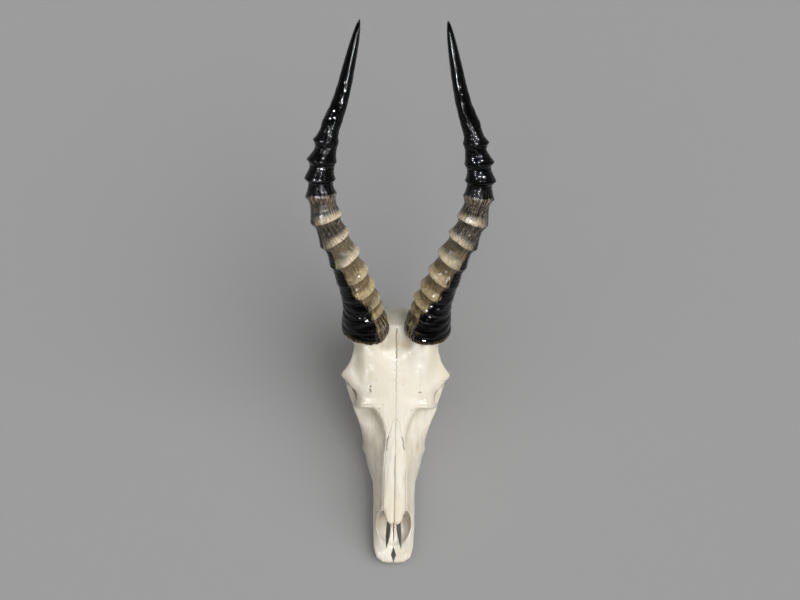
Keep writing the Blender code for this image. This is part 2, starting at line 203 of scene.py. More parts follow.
boneFinish = {
    "cream": (0.73, 0.665, 0.53),
    "chalk": (0.75, 0.70, 0.59),
    "grey": (0.50, 0.44, 0.40),
    "stain": (0.44, 0.33, 0.18),
    "tan": (0.36, 0.27, 0.17),
    "brown": (0.13, 0.085, 0.045),
    "butter": (0.72, 0.62, 0.43),
    "roughness": 0.40,
}


def boneMaterial():
    finish = boneFinish
    made, tree, shader = newMaterial("polished bone")
    place = addNode(tree, "ShaderNodeTexCoord").outputs["Object"]
    broad = noiseNode(tree, place, 28.0, 3.0)
    mottle = noiseNode(tree, place, 130.0, 4.0, 0.6)
    lengthwise = addNode(tree, "ShaderNodeMapping", {"Vector": place, "Scale": (420.0, 40.0, 120.0)}).outputs[0]
    streaks = noiseNode(tree, lengthwise, 1.0, 3.0, 0.6)
    broadly = addNode(tree, "ShaderNodeMapping", {"Vector": place, "Scale": (190.0, 14.0, 50.0)}).outputs[0]
    bands = noiseNode(tree, broadly, 1.0, 3.0, 0.6)
    colour = blend(tree, step(tree, broad, 0.38, 0.62), finish["cream"], finish["chalk"])
    colour = blend(tree, step(tree, mottle, 0.52, 0.75, 0.0, 0.3), colour, finish["butter"])
    grainy = attribute(tree, "grainy")
    lines = times(tree, step(tree, streaks, 0.5, 0.75, 0.0, 0.34), grainy)
    colour = blend(tree, lines, colour, finish["tan"])
    greyBands = times(tree, step(tree, bands, 0.46, 0.66, 0.0, 0.34), grainy)
    colour = blend(tree, greyBands, colour, finish["grey"])
    colour = blend(tree, attribute(tree, "butter"), colour, finish["butter"])
    # Stains, and painted shade in the left pit before the eye and in the eye sockets, tint towards the stain
    # colour
    stainAndPaintedShade = times(tree, attribute(tree, "stain"), step(tree, mottle, 0.3, 0.65, 0.35, 1.0))
    colour = blend(tree, stainAndPaintedShade, colour, finish["stain"])
    # Painted shade: where the bone hides much of the sky, its colour is tinted tan
    shade = times(tree, attribute(tree, "painted_shade"), step(tree, mottle, 0.2, 0.8, 0.65, 1.0))
    colour = blend(tree, shade, colour, finish["tan"])
    # Dark seams are the bone's own colour; the dark of the deep dents is painted shade inside the holes
    colour = blend(tree, attribute(tree, "dark_seams_and_hole_shade"), colour, finish["brown"])
    tree.links.new(colour, shader.inputs["Base Color"])
    rough = step(tree, mottle, 0.3, 0.7, finish["roughness"] - 0.06, finish["roughness"] + 0.08)
    rough = plus(tree, rough, times(tree, attribute(tree, "painted_shade"), 0.3))
    tree.links.new(rough, shader.inputs["Roughness"])
    fine = noiseNode(tree, place, 900.0, 3.0, 0.6)
    relief = plus(tree, times(tree, fine, 0.5), streaks)
    bump = addNode(tree, "ShaderNodeBump", {"Height": relief, "Strength": 0.25, "Distance": 0.0004})
    tree.links.new(bump.outputs[0], shader.inputs["Normal"])
    shader.inputs["Specular IOR Level"].default_value = 0.4
    shader.inputs["Coat Weight"].default_value = 0.06
    shader.inputs["Coat Roughness"].default_value = 0.15
    shader.inputs["Subsurface Weight"].default_value = 0.08
    shader.inputs["Subsurface Radius"].default_value = (0.004, 0.002, 0.001)
    return made


hornFinish = {
    "black": (0.0014, 0.0014, 0.0014),
    "soot": (0.010, 0.009, 0.008),
    "cream": (0.66, 0.555, 0.39),
    "buff": (0.52, 0.435, 0.25),
    "honey": (0.30, 0.23, 0.115),
    "greyGreen": (0.215, 0.195, 0.135),
    "smoke": (0.048, 0.048, 0.048),
    "brown": (0.115, 0.075, 0.038),
    "tan": (0.36, 0.28, 0.19),
    "roughness": 0.07,
    # how far round from the outer side the black reaches, by millimetres from the foot
    "blackReach": (
        (0, 126),
        (18, 122),
        (36, 108),
        (53, 92),
        (75, 70),
        (98, 52),
        (126, 36),
        (154, 26),
        (184, 18),
        (210, 14),
    ),
}


def hornMaterial():
    finish = hornFinish
    made, tree, shader = newMaterial("polished horn")
    place = addNode(tree, "ShaderNodeTexCoord").outputs["Object"]
    along = attribute(tree, "along")
    ring = separated(tree, attribute(tree, "ring", "Vector"))
    ringTurn = calc(tree, "ARCTAN2", ring[1], ring[0])
    facing = attribute(tree, "facing", "Vector")
    alongVector = addNode(tree, "ShaderNodeCombineXYZ", {2: along}).outputs[0]

    def roundAndAlong(about, lengthwise):
        return calcVector(tree, "ADD", scaled(tree, facing, about), scaled(tree, alongVector, lengthwise))

    grainLines = noiseNode(tree, roundAndAlong(11.0, 0.05), 1.0, 3.0, 0.7)
    flecks = noiseNode(tree, roundAndAlong(9.0, 0.24), 1.0, 4.0, 0.7)
    cloud = noiseNode(tree, place, 110.0, 4.0, 0.6)
    patches = noiseNode(tree, place, 48.0, 3.0, 0.6)

    # Inside of the pale stretch: cream just above each crest, partly the ridges' paler horn and partly painted
    # light on the crest tops; brown below it is painted shadow under each crest; duller hollows between
    light = blend(tree, step(tree, along, 85.0, 115.0), finish["honey"], finish["greyGreen"])
    light = blend(tree, step(tree, along, 118.0, 142.0), light, finish["smoke"])
    hollow = blend(tree, 1.0, light, step(tree, patches, 0.38, 0.62, 0.4, 1.45), how="MULTIPLY")
    hollow = blend(tree, step(tree, flecks, 0.56, 0.68, 0.0, 0.7), hollow, finish["cream"])
    hollow = blend(tree, step(tree, flecks, 0.42, 0.30, 0.0, 0.5), hollow, finish["soot"])
    reach = attribute(tree, "paleness")
    crest = blend(tree, step(tree, along, 70.0, 110.0), finish["buff"], finish["cream"])
    crest = blend(tree, step(tree, reach, 1.0, 0.0, 0.0, 0.8), crest, finish["tan"])
    above = plus(tree, ringTurn, times(tree, minus(tree, flecks, 0.5), 3.6))
    # Partly the ridges' paler horn, partly painted light on the crest tops that face the light
    paleCrestAndPaintedLight = times(tree, step(tree, ringTurn, -0.34, 0.0), step(tree, above, 2.3, 0.5))
    paleCrestAndPaintedLight = times(tree, paleCrestAndPaintedLight, step(tree, flecks, 0.36, 0.52, 0.3, 1.0))
    paleCrestAndPaintedLight = times(tree, paleCrestAndPaintedLight, step(tree, reach, 0.2, 1.1, 0.45, 1.0))
    paleCrestAndPaintedLight = times(tree, paleCrestAndPaintedLight, step(tree, along, 164.0, 174.0, 1.0, 0.5))
    pale = blend(tree, paleCrestAndPaintedLight, hollow, crest)
    # Painted shadow: brown on the steep faces below each crest
    below = calc(tree, "MAXIMUM", step(tree, ringTurn, 1.9, 3.0), step(tree, ringTurn, -0.06, -0.34))
    below = times(tree, below, step(tree, patches, 0.36, 0.6, 0.35, 0.9))
    below = times(tree, below, step(tree, along, 120.0, 145.0, 1.0, 0.45))
    pale = blend(tree, below, pale, finish["brown"])
    comb = step(tree, grainLines, 0.46, 0.60)
    pale = blend(tree, times(tree, comb, 0.10), pale, finish["cream"])
    pale = blend(tree, step(tree, grainLines, 0.44, 0.32, 0.0, 0.25), pale, finish["brown"])
    darkLines = step(tree, grainLines, 0.52, 0.42)
    darkLines = times(tree, darkLines, step(tree, along, 118.0, 142.0, 0.0, 0.7))
    darkLines = times(tree, darkLines, minus(tree, 1.0, paleCrestAndPaintedLight))
    pale = blend(tree, darkLines, pale, finish["soot"])

    # Under the last pale crest tan streaks fade into smoke, and at the foot they run into black
    topStretch = times(tree, step(tree, along, 164.0, 170.0), step(tree, ringTurn, -2.1, -0.5))
    topStretch = times(tree, topStretch, step(tree, ringTurn, 0.0, -0.06))
    pale = blend(tree, times(tree, topStretch, comb), pale, finish["tan"])
    footStreaks = step(tree, grainLines, 0.47, 0.57, 1.0, 0.3)
    footStreaks = times(tree, step(tree, along, 44.0, 12.0), footStreaks)
    pale = blend(tree, footStreaks, pale, finish["soot"])

    # The black begins at a ragged line round the outer side and above the last pale ring
    ragged = plus(tree, reach, times(tree, minus(tree, patches, 0.5), 0.8))
    ragged = plus(tree, ragged, times(tree, minus(tree, grainLines, 0.5), 0.7))
    isPale = step(tree, ragged, -0.10, 0.14)
    blackish = blend(tree, step(tree, cloud, 0.55, 0.8, 0.0, 0.5), finish["black"], finish["soot"])
    upperStreaks = times(tree, step(tree, along, 204.0, 186.0, 0.0, 0.5), comb)
    upperStreaks = times(tree, upperStreaks, step(tree, along, 178.0, 182.0))
    blackish = blend(tree, upperStreaks, blackish, finish["smoke"])
    rim = times(tree, step(tree, along, 5.0, 0.5), step(tree, grainLines, 0.4, 0.6, 0.2, 0.9))
    blackish = blend(tree, rim, blackish, finish["brown"])
    colour = blend(tree, isPale, blackish, pale)
    speckAt = noiseNode(tree, place, 330.0, 1.0)
    specks = times(tree, step(tree, speckAt, 0.70, 0.76), isPale)
    colour = blend(tree, specks, colour, finish["black"])
    tree.links.new(colour, shader.inputs["Base Color"])
    rough = step(tree, cloud, 0.3, 0.7, finish["roughness"] - 0.03, finish["roughness"] + 0.03)
    tree.links.new(rough, shader.inputs["Roughness"])
    ripple = noiseNode(tree, place, 290.0, 0.0)
    waver = noiseNode(tree, roundAndAlong(1.5, 0.12), 1.0, 1.0)
    hoops = calc(tree, "SINE", plus(tree, times(tree, along, 1.35), times(tree, waver, 3.0)))
    frontal = calc(tree, "MAXIMUM", step(tree, reach, -1.0, -0.5, 0.0, 0.5), step(tree, along, 140.0, 185.0))
    rippled = times(tree, ripple, step(tree, frontal, 0.0, 0.5, 0.04, 0.3))
    relief = plus(tree, times(tree, grainLines, 0.10), rippled)
    hooped = times(tree, step(tree, along, 285.0, 245.0, 0.02, 0.32), frontal)
    relief = plus(tree, relief, times(tree, hoops, hooped))
    bump = addNode(tree, "ShaderNodeBump", {"Height": relief, "Strength": 1.0, "Distance": 0.0006})
    tree.links.new(bump.outputs[0], shader.inputs["Normal"])
    shader.inputs["Specular IOR Level"].default_value = 0.25
    return made


enamelFinish = {
    "ivory": (0.66, 0.57, 0.40),
    "dentine": (0.42, 0.28, 0.14),
    "tartar": (0.09, 0.055, 0.03),
    "roughness": 0.22,
}


def enamelMaterial():
    finish = enamelFinish
    made, tree, shader = newMaterial("tooth enamel")
    place = addNode(tree, "ShaderNodeTexCoord").outputs["Object"]
    upright = addNode(tree, "ShaderNodeMapping", {"Vector": place, "Scale": (700.0, 700.0, 70.0)}).outputs[0]
    streaks = noiseNode(tree, upright, 1.0, 3.0, 0.6)
    cloud = noiseNode(tree, place, 260.0, 4.0, 0.6)
    colour = blend(tree, step(tree, cloud, 0.35, 0.7, 0.0, 0.55), finish["ivory"], finish["dentine"])
    colour = blend(tree, attribute(tree, "dentine"), colour, finish["dentine"])
    stain = times(tree, attribute(tree, "stain"), step(tree, streaks, 0.35, 0.65, 0.35, 1.0))
    colour = blend(tree, stain, colour, finish["tartar"])
    tree.links.new(colour, shader.inputs["Base Color"])
    rough = step(tree, cloud, 0.3, 0.7, finish["roughness"], finish["roughness"] + 0.2)
    tree.links.new(rough, shader.inputs["Roughness"])
    bump = addNode(tree, "ShaderNodeBump", {"Height": streaks, "Strength": 0.4, "Distance": 0.0003})
    tree.links.new(bump.outputs[0], shader.inputs["Normal"])
    shader.inputs["Coat Weight"].default_value = 0.3
    return made


boneLook = boneMaterial()
hornLook = hornMaterial()
enamelLook = enamelMaterial()
print("materials ready")


# Mesh tools. Working objects are in millimetres of the muzzle's own frame
def linked(name, data):
    made = bpy.data.objects.new(name, data)
    bpy.context.scene.collection.objects.link(made)
    return made


def meshObject(name, points, faces, edges=()):
    mesh = bpy.data.meshes.new(name)
    mesh.from_pydata([tuple(map(float, p)) for p in points], list(edges), faces)
    return linked(name, mesh)


def facedOutwards(mesh, weld=0.0):
    tidy = bmesh.new()
    tidy.from_mesh(mesh)
    if weld:
        bmesh.ops.remove_doubles(tidy, verts=tidy.verts, dist=weld)
    bmesh.ops.recalc_face_normals(tidy, faces=tidy.faces)
    tidy.to_mesh(mesh)
    tidy.free()


def loft(name, sections):
    count = len(sections[0])
    points = [p for section in sections for p in section]
    faces = [tuple(range(count))[::-1]]
    for row in range(len(sections) - 1):
        for i in range(count):
            a, b = row * count + i, row * count + (i + 1) % count
            faces.append((a, b, b + count, a + count))
    last = (len(sections) - 1) * count
    faces.append(tuple(range(last, last + count)))
    made = meshObject(name, points, faces)
    facedOutwards(made.data)
    return made


# A closed outline with a smooth curve led through its corners
def softened(outline, times=2):
    points = np.array(outline, float)
    for _ in range(times):
        before, after, beyond = np.roll(points, 1, 0), np.roll(points, -1, 0), np.roll(points, -2, 0)
        between = (9 * (points + after) - before - beyond) / 16
        points = np.stack([points, between], axis=1).reshape(-1, points.shape[1])
    return points


def fromFace(out, back, up):
    return Vector((out, 0, 0)) + upFace * back + offFace * up


def ball(name, centre, halfLengths, slope=0.0):
    shape = bmesh.new()
    turn = Matrix.Rotation(slope, 4, "X")
    place = Matrix.Translation(Vector(centre)) @ turn @ Matrix.Diagonal(Vector(halfLengths)).to_4x4()
    bmesh.ops.create_uvsphere(shape, u_segments=40, v_segments=24, radius=1, matrix=place)
    mesh = bpy.data.meshes.new(name)
    shape.to_mesh(mesh)
    shape.free()
    return linked(name, mesh)


# A round bar along a smooth curve, each row out, back, up and radius
def bar(name, route, cyclic=False):
    curve = bpy.data.curves.new(name, "CURVE")
    curve.dimensions = "3D"
    curve.bevel_depth = 1
    curve.bevel_resolution = 5
    curve.resolution_u = 10
    curve.use_fill_caps = True
    spline = curve.splines.new("BEZIER")
    spline.bezier_points.add(len(route) - 1)
    spline.use_cyclic_u = cyclic
    for point, row in zip(spline.bezier_points, route):
        point.co = Vector(row[:3])
        point.handle_left_type = point.handle_right_type = "AUTO"
        point.radius = row[3]
    return asMesh(linked(name, curve), 0.01)


def asMesh(obj, weld=0.0):
    bpy.context.view_layer.update()
    mesh = bpy.data.meshes.new_from_object(obj.evaluated_get(bpy.context.evaluated_depsgraph_get()))
    if weld:
        facedOutwards(mesh, weld)
    name = obj.name
    bpy.data.objects.remove(obj)
    return linked(name, mesh)


def together(name, pieces):
    whole = bmesh.new()
    for piece in pieces:
        whole.from_mesh(piece.data)
        bpy.data.objects.remove(piece)
    mesh = bpy.data.meshes.new(name)
    whole.to_mesh(mesh)
    whole.free()
    return linked(name, mesh)


def oneSkin(obj, voxel):
    remesh = obj.modifiers.new("one skin", "REMESH")
    remesh.mode = "VOXEL"
    remesh.voxel_size = voxel
    return asMesh(obj)


def hollowedOut(obj, cutter):
    boolean = obj.modifiers.new("hollows", "BOOLEAN")
    boolean.operation = "DIFFERENCE"
    boolean.object = cutter
    made = asMesh(obj)
    bpy.data.objects.remove(cutter)
    return made


def bothSides(rows):
    for row in rows:
        yield row
        if row[0][0] != 0:
            yield ((-row[0][0], *row[0][1:]), *row[1:])


# Puts a finished mesh in the frame's metres, with its object at the origin
def settle(obj, material, nodeName):
    mesh = obj.data
    mesh.transform(Matrix.Scale(mm, 4) @ Matrix.Translation((0, muzzleAt, 0)))
    mesh.materials.clear()
    mesh.materials.append(material)
    mesh.shade_smooth()
    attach(obj, "root")
    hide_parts(nodeName)


# The skull's bone
skullForm = {
    "roughVoxel": 1.7,
    "voxel": 1.46,
    "shelterReach": 38.0,
    # face bone by distance from the tip: midline height, half width and drop of the top table,
    # half width and height of the cheek, half width and height of the lower edge, height of the palate
    "face": (
        (-4, 10.1, 4.5, 0.5, 7, 9.2, 5, 7.2, 7.7),
        (-2, 11.2, 8, 0.4, 13.6, 10.2, 10, 7.4, 7.9),
        (0, 12.3, 10.6, 0.2, 18.4, 10.9, 14, 7.7, 8.3),
        (4, 13.4, 12, -0.6, 22, 12, 17.5, 8.2, 8.6),
        (11, 15, 14, -2.2, 24, 14, 19.5, 9, 9.5),
        (17, 17.5, 15.5, -3.6, 24.3, 15.6, 20, 9.3, 10),
        (22, 21.5, 16, -3.4, 24.5, 17, 20, 9.5, 10.5),
        (30, 29.5, 16.6, -1.4, 24.7, 19, 20.5, 10, 11),
        (41, 40, 17, 2, 24.9, 21, 21, 11, 12),
        (52, 50, 15, 2, 24.9, 23, 22, 12, 14),
        (81, 61, 13.5, 2, 25, 30, 22.5, 14, 17),
        (102, 69, 14, 2, 27, 36, 28, 15, 20),
        (124, 77.5, 15, 3, 33, 44, 34, 15, 22),
        (145, 85.5, 22, 4, 39, 54, 38, 15, 23),
        (160, 91.5, 38, 5, 44.5, 61, 39, 16, 24),
        (168, 94.5, 42, 6, 48, 62, 38.5, 17, 24),
        (176, 97.5, 40.5, 8.6, 50.5, 61, 37, 18, 25),
        (184, 100.5, 43.6, 9.2, 51.5, 58, 33, 22, 28),
        (191, 103, 49.5, 10, 52.6, 58, 30, 26, 31),
        (199, 106, 56.5, 13.5, 56, 61, 28, 30, 34),
        (207, 109, 62, 17, 59.3, 69, 26, 34, 38),
        (213, 111, 57.5, 15, 54, 78, 24, 38, 41),
        (221, 114, 52, 11, 47, 81, 23, 42, 44),
        (230, 117, 49, 9, 45, 82, 21, 45, 47),
        (240, 119, 47, 9, 44, 82, 20, 46, 48),
        (256, 118, 38, 12, 42, 82, 18, 48, 50),
    ),
    # nasal cavity by distance from the tip: half width, floor, ceiling
    "cavity": (
        (12, 4, 15.6, 60),
        (14, 6.5, 15.8, 60),
        (17, 9.6, 15.8, 60),
        (20, 12.4, 15.3, 60),
        (23, 14.8, 14.8, 60),
        (27, 17.2, 14.4, 60),
        (32, 19.2, 14.4, 60),
        (38, 20.4, 14.6, 60),
        (44, 20.4, 15, 60),
        (48.5, 18.6, 15.5, 60),
        (51, 16.6, 16, 56),
        (53, 14.8, 16.5, 48),
        (60, 14, 18, 47),
        (80, 13.5, 21, 54),
        (100, 12, 25, 61),
        (120, 6, 36, 66),
    ),
    # long holes in the palate by distance from the tip: middle and half width
    "palateSlot": (
        (12.8, 8.5, 0.1),
        (16, 8.3, 0.65),
        (21, 7.9, 1.45),
        (28, 7.1, 2.3),
        (35, 6.4, 2.55),
        (43, 5.9, 2.4),
        (52, 5.5, 1.8),
        (60, 5.0, 0.8),
    ),
    "tipNotch": (
        (-6, 0, 0.45),
        (0, 0, 0.7),
        (2.5, 0, 1.5),
        (6.2, 0, 2.9),
        (9, 0, 2.1),
        (12, 0, 1.1),
        (15.3, 0, 0.1),
    ),
    "midlineSlit": ((22.5, 0, 0.1), (26, 0, 0.4), (40, 0, 0.5), (66, 0, 0.6)),
    # nasal bones by distance from the tip: inner edge, outer edge, height of the midline
    "nasals": (
        (36.2, 2.6, 4.4, 45.2),
        (37.4, 1.0, 6.4, 45.8),
        (40, 0.35, 8.6, 46.7),
        (44, 0.3, 10.4, 48.1),
        (48.5, 0.3, 11.8, 49.9),
        (55, 0.3, 12.6, 52.1),
        (80, 0.3, 12.9, 61.1),
        (112, 0.3, 12.2, 72.9),
        (134, 0.3, 9.6, 80.9),
        (150, 0.3, 5.5, 87.2),
    ),
    # pit in front of the eye by distance up the face: inner edge, floor at that edge, floor at the outer edge
    "eyePit": (
        (122, 16.5, 30, 10),
        (130, 13.6, 24.5, 4),
        (138, 12.4, 20.5, 1),
        (148, 12.2, 17.2, 0.5),
        (158, 14.2, 14.8, 1.5),
        (166, 16.6, 13, 2.5),
        (173, 19.6, 12, 3.5),
        (179, 23, 12, 4.5),
        (185.6, 26.5, 12.5, 5),
    ),
    "eyeRim": (
        (59.8, 224.5, 12.5, 2.0),
        (53.2, 213.5, 17.6, 2.0),
        (46.4, 206, 19.4, 2.1),
        (41.3, 198.5, 17.8, 2.2),
        (41.8, 191, 10, 2.3),
        (46.6, 186, -1, 2.3),
        (51.2, 194, -11, 2.2),
        (55.2, 205, -12.5, 2.0),
        (58, 215, -6, 1.9),
        (60, 225, 3, 1.9),
    ),
    "cheekArch": (
        (43, 172, 61, 6),
        (47, 188, 57, 5),
        (53, 202, 58, 4.4),
        (54, 214, 59.5, 4.2),
        (49.5, 226, 61, 4.2),
        (44.5, 240, 63, 4.6),
        (39, 253, 64, 6),
    ),
    "neckProng": ((35, 275, 58, 7.5), (35, 281, 34, 6), (31.5, 284.5, 12, 4.8), (30, 285, -5, 4.2)),
    "skullBase": ((0, 190, 54, 12), (0, 240, 47, 12), (0, 287, 44, 11)),
    # rounded masses of bone as centre and half lengths, those off the midline for the left side
    "masses": (
        ((0, 254, 84), (41, 36.5, 31)),
        ((0, 277, 78), (34, 15.5, 23)),
        ((0, 284, 56), (27, 14, 17)),
        ((0, 248, 96), (24, 32, 17)),
        ((14, 291, 42), (9, 11, 12)),
        ((21, 262, 38), (9, 15, 12)),
        ((22, 234, 102), (27, 28, 17)),
        ((28, 124, 38), (6.2, 11, 8)),
        ((28, 187, 36), (10, 14, 19)),
        ((38, 250, 64), (9, 13, 10)),
        ((38, 271, 60), (9, 11, 17)),
        ((12.5, 194, 37), (2.4, 24, 17)),
    ),
    "hollows": (
        ((58, 192, 74.5), (27, 16.5, 14)),
        ((40, 193, 69), (13, 12, 18)),
        ((34, 196, 75), (16, 12, 11)),
        ((53, 231, 77), (15, 15, 17)),
        ((0, 199, 33), (9.5, 26, 14)),
        ((0, 294, 57), (10, 22, 9.5)),
    ),
    # the same in the plane of the face: the opening of the eye socket
    "faceHollows": (((71.5, 200, 4), (26, 14.5, 19)), ((50, 199, 0), (13, 11, 14))),
    "midlineBar": ((2.3, 14, 13.6, 2.0), (2.6, 30, 14.4, 1.9), (2.4, 46, 16, 1.8), (2.0, 70, 20, 2.2)),
    # height of the forehead over the plane of the face, by distance up the face at these widths
    "foreheadWidths": (0, 12, 24, 36, 46),
    "forehead": (
        (203, 31.5, 31.0, 29.4, 26.3, 22.6),
        (218, 31.7, 31.3, 30.3, 27.6, 23.3),
        (232, 31.5, 31.7, 31.7, 30.0, 25.5),
        (246, 30.4, 31.6, 34.0, 34.4, 29.5),
        (258, 27.6, 29.2, 34.6, 37.8, 34.0),
        (266, 24.6, 25.0, 34.0, 39.0, 36.0),
    ),
    # how high the bone between the horns may reach
    "betweenHorns": ((250, 31), (262, 25), (270, 21.5), (280, 18.5), (290, 15), (298, 8), (305, -6)),
    "scrolls": ((12.5, 52, 31, 4.2), (11.5, 70, 35, 4.6), (10, 92, 40, 4.8)),
}
hornForm = {
    "base": Vector((36.2, 256, 114.5)),
    # axis of the left horn from the centre of its foot: out, back along the face, up from the face
    "path": (
        (0, 0, 0),
        (5.2, 32, 26),
        (23.9, 78.5, 62),
        (45.8, 123.5, 85),
        (53.5, 167.5, 99),
        (46.0, 211.5, 111),
        (30.8, 253.5, 126),
        (20.3, 295.5, 144),
        (11.3, 334.1, 164.9),
    ),
    # distance from the foot against the radius over the ring crests
    "radius": (
        (0, 28.6),
        (14, 26.8),
        (38, 23.4),
        (67, 21.2),
        (96, 20.0),
        (131, 19.6),
        (157, 19.0),
        (184, 18.2),
        (202, 18.0),
        (222, 17.3),
        (245, 14.8),
        (255, 12.0),
        (268, 10.9),
        (291, 9.2),
        (337, 6.7),
        (362, 4.7),
        (376, 2.7),
        (382, 1.2),
        (384, 0.0),
    ),
    "crests": (-8, 13, 27.5, 39.5, 57.5, 80, 104.5, 131, 157, 183.5, 202.3, 222, 245, 268, 300),
    "ringDepth": (
        (0, 0.8),
        (20, 3.2),
        (40, 5.4),
        (80, 6.0),
        (131, 5.8),
        (184, 5.0),
        (203, 5.4),
        (245, 4.8),
        (256, 1.2),
        (290, 0.3),
        (384, 0),
    ),
    # how closely the rings keep to the side where they are strongest
    "ringFocus": ((0, 4.0), (40, 3.4), (75, 2.4), (100, 1.4), (135, 1.0), (384, 1.0)),
    # how much of the rings is left on the far side of the horn
    "farSide": ((0, 0.04), (55, 0.06), (80, 0.2), (105, 0.35), (131, 0.55), (203, 0.5), (250, 0.3), (384, 0.1)),
    "crestTurn": ((0, 165), (60, 155), (110, 120), (170, 75), (245, 10), (300, 10)),
    # how much earlier the rings come on the outer side, in shares of a ring
    "ringSlant": ((0, 0.10), (105, 0.10), (140, 0.04), (184, -0.02), (203, 0.0), (245, 0.1), (384, 0.1)),
    "rows": 560,
    "spokes": 112,
}
pedicle = {"length": 36, "lean": 8, "radii": ((0, 15), (0.35, 18.5), (0.7, 22), (1, 24.5), (1.07, 24.3))}


def faceSection(back):
    top, table, drop, cheek, cheekZ, edge, edgeZ, palate = (
        float(eased(skullForm["face"], back, column)) for column in range(1, 9)
    )
    inner = edge - 12 if edge > 24 else edge * 0.6
    half = [
        (0, top),
        (table * 0.55, top - drop * 0.25),
        (table, top - drop),
        (table * 0.55 + cheek * 0.5, (top - drop + cheekZ) / 2),
        (cheek, cheekZ),
        (edge, edgeZ + 0.35 * (cheekZ - edgeZ)),
        (edge - 0.5, edgeZ),
        (inner, edgeZ),
        (inner - 3, palate),
        (0, palate),
    ]
    outline = softened(half + [(-x, z) for x, z in half[-2:0:-1]])
    return [(x, back, z) for x, z in outline]


def faceBlock():
    rows = skullForm["face"]
    return loft("face block", [faceSection(back) for back in np.linspace(rows[0][0], rows[-1][0], 150)])


def nasalCavity():
    turns = np.linspace(0, 2 * math.pi, 28, endpoint=False)
    squarish = 0.6
    sections = []
    for back in np.linspace(12, 120, 54):
        half, floor, ceiling = (float(eased(skullForm["cavity"], back, column)) for column in (1, 2, 3))
        out = half * np.sign(np.cos(turns)) * np.abs(np.cos(turns)) ** squarish
        rise = (ceiling - floor) / 2 * np.sign(np.sin(turns)) * np.abs(np.sin(turns)) ** squarish
        sections.append([(x, back, (floor + ceiling) / 2 + z) for x, z in zip(out, rise)])
    return loft("nasal cavity", sections)


# An upright slot through the palate whose middle and half width change along it
def slot(name, rows, side, low, high):
    sections = []
    for back in np.linspace(rows[0][0], rows[-1][0], 24):
        middle, half = side * float(eased(rows, back, 1)), float(eased(rows, back, 2))
        corners = ((middle - half, low), (middle + half, low), (middle + half, high), (middle - half, high))
        sections.append([(x, back, z) for x, z in corners])
    return loft(name, sections)


def eyePit(side):
    rows = skullForm["eyePit"]
    sections = []
    outer, above, wallRun = 75, 60, 3.0
    for back in np.linspace(rows[0][0], rows[-1][0], 40):
        inner, floorIn, floorOut = (float(eased(rows, back, column)) for column in (1, 2, 3))
        outline = [
            (inner - 3, above),
            (inner - 1, floorIn + 14),
            (inner, floorIn + 7),
            (inner + wallRun * 0.5, floorIn + 2),
            (inner + wallRun, floorIn),
            (inner + 12, floorIn * 0.75 + floorOut * 0.25 - 1),
            (50, floorOut),
            (outer, floorOut - 10),
            (outer, above),
        ]
        sections.append([fromFace(side * x, back, up) for x, up in outline])
    return loft("pit before the eye", sections)


def nasalBone(side):
    rows = skullForm["nasals"]
    thick = 3.0
    sections = []
    for back in np.concatenate([np.linspace(36.2, 42, 8), np.linspace(44, 150, 40)]):
        inner, outer, top = (float(eased(rows, back, column)) for column in (1, 2, 3))
        across = np.linspace(inner, outer, 9)
        share = across / 13
        upper = [(side * x, back, top - 2.4 * s**3 + 0.5 * math.sin(math.pi * s)) for x, s in zip(across, share)]
        lower = [(x, y, z - thick) for x, y, z in upper[::-1]]
        sections.append(upper + lower)
    return loft("nasal bone", sections)


def hornAxis(side):
    keys = np.array(hornForm["path"], float)
    steps = np.concatenate([[0], np.cumsum(np.linalg.norm(np.diff(keys, axis=0), axis=1))])
    fine = np.linspace(0, steps[-1], 400)
    out, back, up = (eased(list(zip(steps, keys[:, axis])), fine) for axis in range(3))
    base = hornForm["base"]
    y = back * math.cos(faceSlope) - up * math.sin(faceSlope) + base.y
    z = back * math.sin(faceSlope) + up * math.cos(faceSlope) + base.z
    points = np.stack([side * (out + base.x), y, z], axis=1)
    along = np.concatenate([[0], np.cumsum(np.linalg.norm(np.diff(points, axis=0), axis=1))])
    return points, along * (hornForm["radius"][-1][0] / along[-1])


def hornStart(side):
    points, _ = hornAxis(side)
    return Vector(points[0]), Vector(points[6] - points[0]).normalized()


def hornStalk(side):
    foot, forward = hornStart(side)
    turn = forward.to_track_quat("Z", "Y").to_matrix()
    length = pedicle["length"]
    root = foot - forward * length - Vector((side * pedicle["lean"], 0, 0))
    turns = np.linspace(0, 2 * math.pi, 48, endpoint=False)
    sections = []
    for share in np.linspace(0, 1.07, 12):
        radius = float(eased(pedicle["radii"], share))
        middle = root.lerp(foot, min(share, 1)) + forward * (length * max(share - 1, 0))
        sections.append([middle + turn @ Vector((math.cos(a), math.sin(a), 0)) * radius for a in turns])
    return loft("horn stalk", sections)


def withSide(route, side):
    return [(side * row[0], *row[1:]) for row in route]


